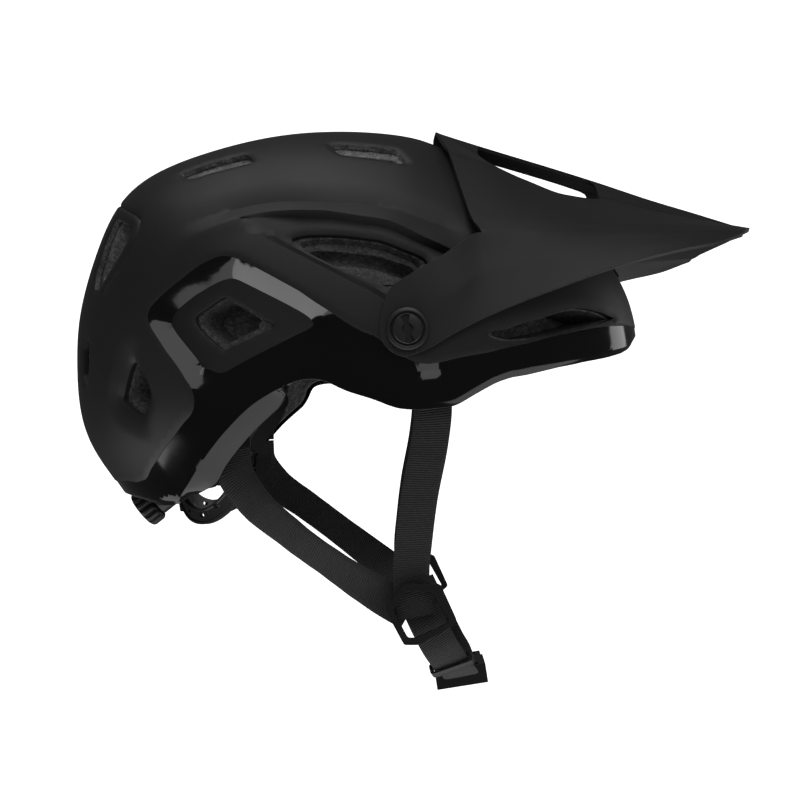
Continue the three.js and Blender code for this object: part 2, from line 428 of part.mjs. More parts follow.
// ---------------------------------------------------------------- straps, dividers and buckle
const DIV_OUT = [[21.8, -127.2], [38.4, -127.2], [40.4, -128.2], [48.2, -145.3], [43.3, -149.7], [29.1, -157.1], [22.3, -157.1], [13, -139.9]];
const DIV_IN = [[23.4, -130.8], [36.5, -130.8], [44.6, -145.2], [41.6, -147.6], [27.6, -153.8], [24.2, -153.8], [16.8, -140.2]];
const DIV_Y = [67.6, 70.4];
const STRAP_SAG = 4.5;
for (const [s, side] of [[1, 'left'], [-1, 'right']]) {
  const put = (m) => (s > 0 ? m : mirror(m));
  node(`anchor_front_${side}`, put(box(27, 45, 82.4, 85.6, -30.3, -22.6)), PLASTIC, 0.6);
  node(`anchor_rear_${side}`, put(box(-71, -53, 66.4, 69.6, -60.3, -52.6)), PLASTIC, 0.6);
  const X = (x, z) => v3(x, 0, z);
  node(`strap_front_${side}`, put(ribbon(
    [v3(36.2, 84, -30.8), v3(36.1, 84, -44.7), v3(34.7, 81.6, -57), v3(29.6, 75.6, -85), v3(27.2, 70.6, -105), v3(25.8, 66.6, -122), v3(26.5, 66.2, -134), v3(28.6, 66.2, -144)],
    [X(1, 0), X(1, -0.05), X(1, -0.1), X(1, -0.12), X(1, -0.1), X(1, -0.03), X(1, 0.1), X(1, 0.3)])), WEB, 0.95);
  // the right rear strap sags a little more than the left one
  const g = s < 0 ? STRAP_SAG : 0;
  node(`strap_rear_${side}`, put(ribbon(
    [v3(-62, 68, -61.4), v3(-61, 68, -72), v3(-52.4, 67, -84.5 - g * 0.4), v3(-33.6, 66, -98.5 - g), v3(-11, 64.9, -115.2 - g), v3(4, 64.2, -126.6 - g * 0.7), v3(17.5, 63.6, -136.5 - g * 0.3), v3(25, 63.6, -142)],
    [X(1, 0.05), X(1, 0.3), v3(0.7, 0.3, 0.7), v3(0.52, 0.5, 0.7), v3(0.5, 0.5, 0.7), v3(0.54, 0.3, 0.75), X(0.55, 0.8), X(0.55, 0.8)])), WEB, 0.95);
  node(`strap_divider_${side}`, put(cut(sidePrism(DIV_OUT, ...DIV_Y), sidePrism(DIV_IN, 60, 80))), PLASTIC, 0.5);
  const chin = [v3(31, 61.6, -141.5), v3(35, 61.4, -150), v3(39.6, 58.6, -159), v3(44.4, 52.5, -167), v3(48, 44, -173), v3(50.4, 37, -176.2)];
  const chinW = [X(1, 0.42), X(1, 0.42), X(1, 0.38), X(1, 0.3), X(1, 0.22), X(1, 0.18)];
  if (s < 0) chin.push(v3(51.8, 30.6, -178.9)); else chin.push(v3(51.9, 27, -179.8), v3(52, 17.5, -180.4));
  chinW.push(X(1, 0.16), X(1, 0.16));
  node(`chin_strap_${side}`, put(ribbon(chin, chinW)), WEB, 0.95);
}

// side-release buckle: long axis along Y, slightly rolled about it
const BUCKLE = { x: 52, z: -180.4, roll: 9 };
const inBuckle = (m) => m.rotate([0, -BUCKLE.roll, 0]).translate([BUCKLE.x, 0, BUCKLE.z]);
const socket = cut(box(-13.5, 13.5, -28, 1, -5, 5), box(-11, 11, -15.5, 4, -2.9, 2.9),
  box(-20, -10, -12, -4, -1.7, 1.7), box(10, 20, -12, -4, -1.7, 1.7), box(-9.8, 9.8, -25.5, -20.5, -6, 6));
node('buckle_socket', inBuckle(socket), PLASTIC, 0.5);
const plug = cut(join(box(-12.6, 12.6, 1.6, 17, -4.4, 4.4), box(-10.4, -6.2, -14.6, 2, -2.4, 2.4), box(6.2, 10.4, -14.6, 2, -2.4, 2.4), box(-2.2, 2.2, -13, 2, -2.4, 2.4)),
  box(-9.8, 9.8, 9.5, 14.5, -6, 6));
node('buckle_plug', inBuckle(plug), PLASTIC, 0.5);

// elastic keeper around the right chin strap that holds its loose end
{
  const c = v3(46.4, -48.4, -170.2), tan = v3(3.6, 8.5, -6).normalize();
  const wd = v3(1, 0, 0.26).addScaledVector(tan, -v3(1, 0, 0.26).dot(tan)).normalize(), n = tan.clone().cross(wd);
  const g = new THREE.BoxGeometry(WEB_W + 5, WEB_T + 5, 5), h = new THREE.BoxGeometry(WEB_W + 2, WEB_T + 2.4, 9);
  const m = new THREE.Matrix4().makeBasis(wd, n, wd.clone().cross(n));
  [g, h].forEach((q) => { q.applyMatrix4(m); q.translate(c.x, c.y, c.z); });
  node('strap_keeper', cut(solid(g), solid(h)), PLASTIC, 0.8);
}

export default root;
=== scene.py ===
import bpy
import bmesh
import math
import numpy as np
from mathutils import Vector, Matrix
from mathutils.geometry import delaunay_2d_cdt, tessellate_polygon


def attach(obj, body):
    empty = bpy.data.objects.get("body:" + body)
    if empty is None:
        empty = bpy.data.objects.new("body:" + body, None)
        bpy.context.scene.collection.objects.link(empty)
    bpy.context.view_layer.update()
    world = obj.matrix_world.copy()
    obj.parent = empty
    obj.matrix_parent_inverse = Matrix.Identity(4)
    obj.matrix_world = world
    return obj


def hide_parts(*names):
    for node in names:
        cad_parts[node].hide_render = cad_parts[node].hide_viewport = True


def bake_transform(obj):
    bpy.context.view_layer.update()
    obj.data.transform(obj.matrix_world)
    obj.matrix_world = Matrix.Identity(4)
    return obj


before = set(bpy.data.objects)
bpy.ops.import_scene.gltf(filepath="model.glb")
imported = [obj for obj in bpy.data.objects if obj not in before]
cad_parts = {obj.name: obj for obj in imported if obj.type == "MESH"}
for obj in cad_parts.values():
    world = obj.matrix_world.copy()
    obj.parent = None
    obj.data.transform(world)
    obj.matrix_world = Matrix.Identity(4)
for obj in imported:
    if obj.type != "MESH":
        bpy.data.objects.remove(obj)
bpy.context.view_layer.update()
MM = 0.001

# ------------------------------------------------------------------ dome (same surface as the CAD shells)
DOME_R = np.array([
    145.8, 144.6, 143.0, 140.3, 136.6, 132.2, 127.3, 122.8, 119.2, 116.6, 114.9, 113.7,
    112.9, 112.8, 113.2, 113.5, 113.1, 112.9, 113.1, 113.8, 114.9, 116.6, 118.6, 121.1,
    124.0, 127.5, 131.7, 136.6, 141.7, 145.9, 147.8, 147.9, 147.5, 147.7, 148.3, 149.0,
    149.3, 149.8, 150.9, 151.7, 151.0, 148.6, 146.4, 146.4, 149.1, 154.2, 161.4, 169.9,
    178.7, 186.9, 194.1, 200.0, 204.3, 206.7, 207.5, 206.8, 204.9, 201.6, 197.4, 192.5,
    187.2, 181.9, 176.8, 171.9, 167.4, 163.3, 159.8, 156.6, 153.9, 151.5, 149.2, 147.4])
CX, CZ, W0, PW = 0.0, -10.0, 102.0, 2.35


def dome_r(a):
    f = (np.asarray(a, float) % 360.0) / 5.0
    i = np.floor(f).astype(int)
    u = f - i
    n = len(DOME_R)
    p = [DOME_R[(i + k) % n] for k in (-1, 0, 1, 2)]
    return (p[0] * (1 - u) ** 3 + p[1] * (3 * u ** 3 - 6 * u * u + 4)
            + p[2] * (-3 * u ** 3 + 3 * u * u + 3 * u + 1) + p[3] * u ** 3) / 6.0


def dome_uv(uv, d):
    """Right side point for plane coordinates uv = t (cos a, sin a), at height d (mm)."""
    uv = np.asarray(uv, float)
    t = np.minimum(np.hypot(uv[:, 0], uv[:, 1]), 90.0)
    a = np.degrees(np.arctan2(uv[:, 1], uv[:, 0]))
    tr = np.radians(t)
    c = np.clip(np.cos(tr), 0, 1)
    c[t > 89.999] = 0.0
    s = np.clip(np.sin(tr), 0, 1)
    r = s ** (2 / PW) * (dome_r(a) + d)
    return np.stack([CX + r * np.cos(np.radians(a)), -(c ** (2 / PW)) * (W0 + d), CZ + r * np.sin(np.radians(a))], 1)


def at(pts):
    p = np.array(pts, float)
    return np.stack([p[:, 1] * np.cos(np.radians(p[:, 0])), p[:, 1] * np.sin(np.radians(p[:, 0]))], 1)


def resample(p, step, closed=False):
    q = np.vstack([p, p[:1]]) if closed else p
    seg = np.hypot(*(q[1:] - q[:-1]).T)
    s = np.concatenate([[0], np.cumsum(seg)])
    n = max(2, int(round(s[-1] / step)) + 1)
    t = np.linspace(0, s[-1], n)
    out = np.stack([np.interp(t, s, q[:, k]) for k in (0, 1)], 1)
    return out[:-1] if closed else out


def chaikin(p, rounds, closed=False):
    for _ in range(rounds):
        if closed:
            nx = np.roll(p, -1, axis=0)
            q = np.empty((len(p) * 2, 2))
            q[0::2] = 0.75 * p + 0.25 * nx
            q[1::2] = 0.25 * p + 0.75 * nx
        else:
            q = [p[0]]
            for i in range(len(p) - 1):
                q.append(0.75 * p[i] + 0.25 * p[i + 1])
                q.append(0.25 * p[i] + 0.75 * p[i + 1])
            q.append(p[-1])
            q = np.array(q)
        p = q
    return p


def line(pts, closed=False, soft=1.6, step=0.6):
    p = at(pts) if not isinstance(pts, np.ndarray) else pts
    p = resample(p, soft, closed)
    p = chaikin(p, 3, closed)
    return resample(p, step, closed)


def dist(P, poly, closed=False):
    """Distance of each P to the polyline, the signed distance (left positive) and the arc position."""
    q = np.vstack([poly, poly[:1]]) if closed else poly
    a, b = q[:-1], q[1:]
    ab = b - a
    l2 = np.maximum((ab ** 2).sum(1), 1e-12)
    s0 = np.concatenate([[0], np.cumsum(np.sqrt(l2))])[:-1]
    best = np.full(len(P), 1e9)
    side = np.ones(len(P))
    arc = np.zeros(len(P))
    for i in range(0, len(P), 4000):
        p = P[i:i + 4000]
        ap = p[:, None, :] - a[None]
        t = np.clip((ap * ab[None]).sum(2) / l2[None], 0, 1)
        c = ap - t[..., None] * ab[None]
        d = np.sqrt((c ** 2).sum(2))
        k = d.argmin(1)
        r = np.arange(len(p))
        best[i:i + 4000] = d[r, k]
        cr = ab[k, 0] * ap[r, k, 1] - ab[k, 1] * ap[r, k, 0]
        side[i:i + 4000] = np.where(cr >= 0, 1.0, -1.0)
        arc[i:i + 4000] = s0[k] + t[r, k] * np.sqrt(l2[k])
    return best, best * side, arc


def inside(P, poly):
    x, y = P[:, 0], P[:, 1]
    res = np.zeros(len(P), bool)
    a = poly
    b = np.roll(poly, -1, axis=0)
    for i in range(len(a)):
        ya, yb = a[i, 1], b[i, 1]
        if ya == yb:
            continue
        m = (y > min(ya, yb)) & (y <= max(ya, yb))
        xi = a[i, 0] + (y - ya) / (yb - ya) * (b[i, 0] - a[i, 0])
        res ^= m & (x < xi)
    return res


def ss(x):
    x = np.clip(x, 0, 1)
    return x * x * (3 - 2 * x)


# ------------------------------------------------------------------ feature lines of the right half, (angle, polar) degrees
SPLIT_REAR = [(208.1, 90), (210.0, 66.5), (211.6, 61.6), (212.4, 56.1), (212.1, 54.5), (211.2, 51.8), (209.8, 46.7), (208.3, 42.7),
              (206.6, 38.0), (204.8, 34.5), (203.8, 32.1), (202.5, 30.7), (199.6, 29.3), (196.8, 29.0), (194.3, 29.3), (192.7, 30.0)]
RINGOUT = [(192.7, 30.0), (190.6, 30.5), (187.1, 31.9), (182.6, 34.4), (178.1, 37.1), (176.0, 38.7), (173.8, 39.9), (172.5, 40.2),
           (171.1, 40.1), (169.3, 39.3), (166.7, 37.7), (163.5, 35.7), (160.4, 33.9), (156.9, 32.2), (153.6, 30.7), (150.6, 29.2),
           (148.3, 28.1), (146.7, 27.0), (145.6, 25.6), (144.7, 24.0), (143.2, 19.6), (141.3, 15.3), (138.4, 11.5), (137.2, 9.1),
           (131.4, 5.7), (119.8, 3.3)]
SPLIT_FRONT = [(119.8, 3.3), (31.0, 1.9), (2.7, 2.8), (352.2, 3.6), (344.2, 4.9), (340.8, 6.5), (340.4, 8.1), (342.3, 10.2), (346.0, 12.2),
               (351.4, 15.7), (355.7, 21.6), (359.7, 30.6), (2.2, 38.5), (3.6, 48.4), (4.3, 58.3), (4.3, 66.5), (3.9, 78.2), (3.9, 90)]
RINGIN = [(189.0, 28.0), (186.8, 28.6), (183.9, 30.0), (179.9, 32.4), (176.9, 34.5), (174.9, 35.8), (172.9, 36.2), (171.4, 36.0),
          (169.5, 35.1), (166.9, 33.5), (163.8, 31.7), (160.9, 29.8), (157.8, 28.1), (155.0, 26.4), (152.8, 24.8), (152.3, 23.5),
          (152.2, 21.2), (152.0, 16.8), (151.7, 12.7), (151.9, 8.8), (153.6, 7.2), (158.3, 6.4)]
DIABOT = [(158.3, 6.4), (165.7, 7.1), (174.7, 9.2), (182.5, 12.5), (187.3, 16.1), (190.9, 20.1), (192.5, 22.2), (193.0, 23.7), (192.2, 24.7), (190.2, 26.3), (189.0, 28.0)]
DIAHOLE = [(170.4, 30.3), (167.5, 28.4), (164.3, 26.7), (161.8, 25.5), (160.8, 24.6), (160.9, 23.4), (162.0, 20.4), (164.1, 17.1),
           (166.4, 14.9), (168.7, 12.9), (171.1, 13.7), (176.0, 16.2), (179.8, 18.9), (182.7, 21.9), (183.7, 23.1), (182.4, 23.9),
           (179.0, 26.1), (175.9, 28.5), (173.4, 29.9), (171.8, 30.4)]
RIM = [(211.2, 90), (214.9, 67.3), (219.6, 56.2), (221.7, 49.7), (223.4, 43.9), (224.7, 38.5), (224.4, 36.5), (223.2, 34.1), (222.2, 30.4),
       (221.5, 27.1), (220.7, 24.0), (220.3, 21.1), (220.2, 18.5), (220.1, 16.6), (218.3, 15.0), (214.0, 13.4), (212.1, 11.4),
       (215.1, 9.7), (219.8, 8.2), (227.5, 6.7), (244.4, 5.0), (262.7, 4.6), (283.1, 5.5), (294.0, 7.1), (299.5, 8.4), (307.4, 10.2),
       (316.5, 12.8), (325.9, 16.5), (330.4, 17.9), (336.9, 20.2), (343.9, 23.8), (347.1, 26.9), (349.0, 30.3), (351.6, 35.2),
       (353.8, 40.7), (355.4, 47.1), (356.8, 55.0), (358.1, 63.3), (359.3, 70.1), (0.9, 77.0), (1.6, 84), (1.6, 90)]
BEV = [(223.5, 52.5), (220.6, 46.3), (219.5, 41.7), (217.6, 36.6), (216.2, 32.6), (214.7, 28.9), (213.5, 25.7), (212.1, 22.7), (211.1, 19.9),
       (210.8, 17.6), (210.8, 15.4), (211.4, 13.3), (212.1, 11.4)]
S0 = [(137.0, 46.0), (126.9, 44.2), (118.6, 42.7), (109.7, 40.9), (96.3, 39.9), (85.6, 39.2), (74.6, 38.9), (63.6, 39.2), (54.6, 39.8), (46, 40.5)]
L1 = [(153.4, 43.1), (151.9, 42.3), (147.4, 40.5), (141.9, 38.8), (137.7, 38.1), (133.3, 38.0), (127.5, 37.3), (121.4, 36.6),
      (111.7, 34.8), (93.0, 33.4), (84.9, 33.1), (76.7, 33.0), (68.5, 33.3), (60.7, 34.0), (53.1, 34.9), (46.0, 36.1), (38, 37.5)]
L2 = [(153.7, 38.8), (149.5, 37.1), (145.2, 35.5), (139.5, 34.1), (133.4, 33.5), (129.6, 33.2), (124.0, 32.3), (117.2, 31.3),
      (109.8, 30.2), (101.8, 29.4), (93.2, 28.3), (84.1, 27.8), (74.8, 27.8), (69.9, 27.5), (62.4, 27.3), (55.5, 27.5), (48, 28.2), (38, 29.5)]
SEO = [(135.6, 32.6), (134.5, 31.0), (131.9, 26.5), (126.1, 20.9), (113.4, 14.7), (91.6, 10.8), (65.6, 9.2), (40.6, 9.4)]
SEI = [(133.2, 33.2), (131.8, 31.8), (128.8, 27.3), (122.6, 21.7), (108.8, 15.7), (87.0, 12.2), (63.6, 10.8), (41.8, 11.1)]
T1 = [(136.2, 62.0), (135.1, 61.9), (132.7, 62.0), (129.2, 61.9), (125.7, 61.4), (122.0, 61.3), (120.6, 60.5), (120.0, 58.0), (119.8, 54.6),
      (120.8, 54.2), (126.0, 54.5), (130.8, 55.2), (134.4, 55.5), (135.8, 56.5), (136.3, 58.1)]
T2 = [(98.8, 59.6), (95.4, 59.9), (89.8, 59.4), (84.0, 59.0), (79.4, 58.9), (77.2, 55.4), (74.5, 51.6), (77.1, 50.6), (81.8, 50.8),
      (86.5, 51.4), (92.6, 52.0), (95.6, 53.0), (97.0, 54.9)]
BIG = [(122.6, 25.2), (116.9, 25.4), (108.1, 24.8), (98.6, 24.3), (88.4, 23.8), (77.9, 23.6), (67.3, 23.5), (56.9, 24.0), (50.7, 24.2),
       (46.9, 23.0), (48.5, 16), (57.4, 12.6), (66.7, 12.4), (77.5, 12.6), (91.4, 13.6), (102.7, 15.2), (109.7, 16.8), (117.6, 19.8), (122.1, 22.6), (123.1, 24.2)]
REARLOW = [(184.7, 44.5), (185.8, 43.2), (187.9, 41.5), (190.8, 40.0), (193.3, 39.5), (194.6, 39.5), (196.4, 41.0), (198.0, 43.0),
           (198.9, 44.5), (198.3, 45.8), (196.8, 47.6), (195.5, 49.2), (194.1, 49.9), (192.9, 50.0), (191.0, 48.6), (188.8, 47.5), (186.5, 46.3), (184.9, 45.2)]
REARSLOT = [(179.1, 67.1), (179.1, 63.7), (182.1, 63.5), (186.2, 64.5), (188.5, 65.8), (188.1, 67.5), (186.0, 69.1), (180.9, 68.8)]
REARWIN = [(152.4, 69.5), (152.4, 61.4), (152.8, 55.9), (157.9, 56.2), (162.9, 58.8), (165.8, 60.7), (168.0, 62.6), (168.2, 66), (165, 68.5), (158.5, 69.3)]
FRONTV = [(3.8, 21.4), (4.5, 22.5), (4.6, 25.3), (6.1, 27.7), (7.0, 31.4), (7.7, 35.5), (8.7, 39.9), (9.2, 44.9), (8.9, 48.3),
          (7.8, 53.8), (6.4, 58.9), (5.9, 60.9), (4.7, 52.5), (3.7, 44.9), (2.5, 38.6), (1.3, 33.1), (0.7, 29.5), (0.3, 26.0), (0.7, 23.9), (2.0, 21.9)]
SEAM = [(149.4, 90), (149.8, 71.3), (149.9, 63.1), (150.0, 58.0), (150.4, 54.4), (153.2, 52.8), (156.0, 52.7), (158.3, 52.9), (163, 55), (168, 58.5)]
FACET = [(337.5, 6.9), (342.8, 10.5), (347.1, 12.7), (340.0, 14.6), (335.6, 12.6), (324.1, 8.6)]

split = line(SPLIT_REAR[:-1] + RINGOUT + SPLIT_FRONT[1:], soft=1.0)
ringout = line(RINGOUT, soft=1.0)
ringin = line(RINGIN, soft=1.0)
diabot = line(DIABOT, soft=1.0)
dia = np.vstack([ringin, diabot[1:-1]])
rim = line(RIM, soft=1.4)
bev = line(BEV, soft=1.2)
s0, l1, l2 = line(S0, soft=4), line(L1, soft=4), line(L2, soft=4)
seo, sei = line(SEO, soft=3), line(SEI, soft=3)
seam = line(SEAM, soft=1.0)
facet = line(FACET, True, soft=0.8)
VENTS = {"t1": line(T1, True, soft=0.9, step=0.5), "t2": line(T2, True, soft=0.9, step=0.5), "big": line(BIG, True, soft=1.2, step=0.5),
         "dia": line(DIAHOLE, True, soft=0.8, step=0.45), "rearlow": line(REARLOW, True, soft=1.0, step=0.5),
         "rearslot": line(REARSLOT, True, soft=0.9, step=0.5), "rearwin": line(REARWIN, True, soft=0.9, step=0.5),
         "front": line(FRONTV, True, soft=1.0, step=0.5)}


def arc_outer(a0, a1, r=97.0):
    a = np.radians(np.linspace(a0, a1, 40))
    return np.stack([r * np.cos(a), r * np.sin(a)], 1)


POLY_UPPER = np.vstack([split, arc_outer(3.9, 208.1)])          # above the matt / gloss boundary
POLY_RIM = np.vstack([rim, arc_outer(1.6, 211.2)])              # above the lower rim
TIP = at([(133.4, 33.4)])[0]
POLY_REC = np.vstack([l2[dist(TIP[None], l2)[2][0] < np.concatenate([[0], np.cumsum(np.hypot(*(l2[1:] - l2[:-1]).T))])], sei[::-1]])
POLY_BND = np.vstack([sei, seo[::-1]])


def offset_line(p, d, closed=False):
    if closed:
        t = np.roll(p, -1, axis=0) - np.roll(p, 1, axis=0)
    else:
        t = np.gradient(p, axis=0)
    t /= np.maximum(np.hypot(t[:, 0], t[:, 1]), 1e-9)[:, None]
    return p + d * np.stack([-t[:, 1], t[:, 0]], 1)


def height(P):
    """Height of the shell's outer face over the plain dome, mm."""
    h = np.zeros(len(P))
    al = np.degrees(np.arctan2(P[:, 1], P[:, 0])) % 360
    # arch: shoulder groove, lip and step
    _, d1, arc1 = dist(P, l1)
    _, d2, _ = dist(P, l2)
    total = np.hypot(*(l1[1:] - l1[:-1]).T).sum()
    w = ss((arc1 - 1.0) / 16.0) * ss((total - 2.0 - arc1) / 9.0)
    up = d1 >= 0
    h += np.where(up, -2.1 * w * np.clip(1 - d1 / 7.0, 0, 1) ** 1.6, 0)
    mid = (~up) & (d2 >= 0)
    f = np.where(mid, -d1 / np.maximum(-d1 + d2, 1e-6), 0)
    h += np.where(mid, w * (-2.1 + 3.1 * f), 0)
    low = d2 < 0
    rec = inside(P, POLY_REC)
    bnd = inside(P, POLY_BND)
    tipd = np.hypot(*(P - TIP).T)
    depth = 4.2 * ss(tipd / 11.0) * ss((al - 34) / 14.0)
    h += np.where(low & ~rec, 1.0 * w * (1 - ss(-d2 / 5.0)), 0)
    h += np.where(rec & low, -depth + (w * 1.0 + depth) * (1 - ss(-d2 / 0.42)), 0)
    do, _, _ = dist(P, seo)
    di, _, _ = dist(P, sei)
    h += np.where(bnd & ~rec, -depth * do / np.maximum(do + di, 1e-6), 0)
    # diamond panel, its bevelled ring and the gloss shell below it
    ind = inside(P, dia)
    dd, _, _ = dist(P, dia, True)
    ds, _, _ = dist(P, split)
    upper = inside(P, POLY_UPPER)
    ring = 0.45 + 6.75 * (1 - ss(dd / 11.0)) * ds / np.maximum(ds + dd, 1e-6)
    h += np.where(ind, -7.2, np.where(~upper, -ring, 0))
    # the matt shell's edge rolls down to the gloss shell
    h -= np.where(upper, 0.45 * (1 - ss(ds / 0.55)), 0)
    # ear cut-out chamfer and the turned edge of the rim
    dbv, sbv, abv = dist(P, bev)
    drm, _, _ = dist(P, rim)
    chamfer = (sbv < 0) & (abv > 0.5) & (P[:, 1] < 0)
    ta = np.hypot(*(bev[1:] - bev[:-1]).T).sum()
    fade = ss((abv - 1.0) / 5.0) * ss((ta - abv) / 3.0)
    near = chamfer & (dbv < 12)
    h -= np.where(near, 6.5 * fade * dbv / np.maximum(dbv + drm, 1e-6), 0)
    h -= 2.0 * (1 - ss(drm / 1.7)) * (1 - 0.6 * np.where(near, fade, 0))
    # vents: edges roll in
    for name, loop in VENTS.items():
        dv, _, _ = dist(P, loop, True)
        wv, av = {"t1": (1.1, 0.8), "t2": (1.1, 0.8), "big": (1.3, 1.0), "dia": (0.8, 0.7), "rearlow": (1.2, 1.2), "rearslot": (1.2, 0.8), "rearwin": (1.1, 0.9), "front": (1.2, 0.9)}[name]
        h -= av * (1 - ss(dv / wv))
    # long soft recess behind the rear lower vent
    dv, _, _ = dist(P, VENTS["rearlow"], True)
    h -= np.where(P[:, 0] < -38, 2.0 * (1 - ss(dv / 5.5)) * ss((-P[:, 0] - 38) / 6.0), 0)
    # seam between the top shell and the frame of the rear windows
    dm, sm_, am = dist(P, seam)
    h -= 0.9 * np.exp(-(dm / 0.32) ** 2)
    # small facet under the pivot
    inf = inside(P, facet)
    df, _, _ = dist(P, facet, True)
    h -= np.where(inf, 0.9 * ss(df / 0.9) * np.clip((-2.3 - P[:, 1]) / 3.0, 0, 1) * 3.6, 0)
    return h


# ------------------------------------------------------------------ triangulated right half of the dome
def hexgrid(step):
    rows = []
    n = int(92 / step) + 2
    dy = step * math.sqrt(3) / 2
    for j in range(-int(92 / dy) - 1, int(92 / dy) + 2):
        x = np.arange(-n, n + 1) * step + (step / 2 if j % 2 else 0)
        rows.append(np.stack([x, np.full_like(x, j * dy)], 1))
    g = np.vstack(rows)
    return g[np.hypot(g[:, 0], g[:, 1]) < 90 - step * 0.45]


def clip_line(p):
    """Keeps the part of an open line inside the half, ending exactly on its border."""
    r = np.hypot(p[:, 0], p[:, 1])
    q = p[r < 89.6]
    ends = []
    if r[0] >= 89.6:
        ends.append(p[0] / r[0] * 90.0)
        q = np.vstack([ends[-1][None], q])
    if r[-1] >= 89.6:
        q = np.vstack([q, (p[-1] / r[-1] * 90.0)[None]])
    return q


def triangulate(step, lines, loops):
    pts, edges = [], []
    ring_n = int(2 * math.pi * 90 / step)
    fixed = []
    for p in lines:
        q = clip_line(p)
        b = len(pts)
        pts.extend(q.tolist())
        fixed.append(q)
        edges += [(b + i, b + i + 1) for i in range(len(q) - 1)]
    for p in loops:
        b = len(pts)
        pts.extend(p.tolist())
        fixed.append(p)
        edges += [(b + i, b + (i + 1) % len(p)) for i in range(len(p))]
    fx = np.vstack(fixed)
    ends = fx[np.hypot(fx[:, 0], fx[:, 1]) > 89.95]
    a = np.linspace(0, 2 * math.pi, ring_n, endpoint=False)
    if len(ends):
        ea = np.arctan2(ends[:, 1], ends[:, 0])
        d = np.abs((a[:, None] - ea[None] + math.pi) % (2 * math.pi) - math.pi).min(1)
        a = np.sort(np.concatenate([a[d > 0.35 * 2 * math.pi / ring_n], ea % (2 * math.pi)]))
    circ = np.stack([90 * np.cos(a), 90 * np.sin(a)], 1)
    b = len(pts)
    pts.extend(circ.tolist())
    edges += [(b + i, b + (i + 1) % len(circ)) for i in range(len(circ))]
    g = hexgrid(step)
    # drop grid points that crowd a feature line
    cell = {}
    for q in fx:
        cell.setdefault((int(math.floor(q[0] / step)), int(math.floor(q[1] / step))), []).append(q)
    keep = []
    lim = (0.42 * step) ** 2
    for q in g:
        i, j = int(math.floor(q[0] / step)), int(math.floor(q[1] / step))
        ok = True
        for di in (-1, 0, 1):
            for dj in (-1, 0, 1):
                for r in cell.get((i + di, j + dj), ()):
                    if (q[0] - r[0]) ** 2 + (q[1] - r[1]) ** 2 < lim:
                        ok = False
                        break
        if ok:
            keep.append(q)
    pts.extend([list(q) for q in keep])
    v, e, f, ov, oe, of_ = delaunay_2d_cdt([Vector(p) for p in pts], edges, [], 0, 1e-4)
    V = np.array([[p.x, p.y] for p in v])
    F = np.array([list(t) for t in f], int)
    area = np.cross(V[F[:, 1]] - V[F[:, 0]], V[F[:, 2]] - V[F[:, 0]])
    F = F[np.abs(area) > 1e-9]
    area = area[np.abs(area) > 1e-9]
    F[area < 0] = F[area < 0][:, ::-1]
    used = np.unique(F)
    m = -np.ones(len(V), int)
    m[used] = np.arange(len(used))
    return V[used], m[F]


STEP = 1.15
CREASES = [l1, l2, offset_line(l2, -0.42), seo, sei, ringin, diabot, rim, offset_line(rim, 0.75), offset_line(rim, 1.5), bev, split,
           offset_line(split, 0.5), seam, offset_line(seam, 0.32), offset_line(seam, -0.32)]
LOOPS = []
for k_, p_ in VENTS.items():
    LOOPS.append(p_)
HV, HF = triangulate(STEP, CREASES, LOOPS)
HH = height(HV)
CENT = HV[HF].mean(1)
FU = inside(CENT, POLY_UPPER)
FR = inside(CENT, POLY_RIM)
FD = inside(CENT, dia)
FVENT = np.zeros(len(HF), bool)
for p_ in VENTS.values():
    FVENT |= inside(CENT, p_)


def compact(pts, faces, *attrs):
    used = np.unique(faces)
    m = -np.ones(len(pts), int)
    m[used] = np.arange(len(used))
    return (pts[used], m[faces]) + tuple(attrs)


def mirrored(faces, uv):
    """Vertex map that gives the left twin of each vertex, sharing those on the mid-plane."""
    on = np.hypot(uv[:, 0], uv[:, 1]) > 89.9
    n = len(uv)
    twin = np.where(on, np.arange(n), -1)
    free = np.where(~on)[0]
    twin[free] = n + np.arange(len(free))
    return twin, free


def both_sides(uv, faces, fn):
    """fn(uv) -> right-side points; returns points and faces of the whole surface, facing out."""
    p = fn(uv)
    twin, free = mirrored(faces, uv)
    q = p[free].copy()
    q[:, 1] *= -1
    return np.vstack([p, q]), np.vstack([faces, twin[faces][:, ::-1]])


def plate(name, uv, hh, faces, thick, mats=None, matid=None, creases=True):
    """Closed wall between height hh and hh - thick over the chosen faces of the half, mirrored."""
    P, F = both_sides(uv, faces, lambda q: dome_uv(q, hh))
    Q, _ = both_sides(uv, faces, lambda q: dome_uv(q, hh - thick))
    n = len(P)
    pts = np.vstack([P, Q])
    ids = np.concatenate([matid, matid]) if matid is not None else np.zeros(len(F), int)
    e = {}
    for t, mid_ in zip(F, ids):
        for i, j in ((t[0], t[1]), (t[1], t[2]), (t[2], t[0])):
            if (j, i) in e:
                del e[(j, i)]
            else:
                e[(i, j)] = mid_
    wall = np.array([(j, i, i + n) for (i, j) in e] + [(j, i + n, j + n) for (i, j) in e], int) if e else np.zeros((0, 3), int)
    wid = np.array(list(e.values()) * 2, int)
    allf = np.vstack([F, F[:, ::-1] + n, wall])
    allid = np.concatenate([ids, ids, wid])
    pts, allf = compact(pts, allf)
    return mesh_object(name, pts, allf, mats or [], allid)


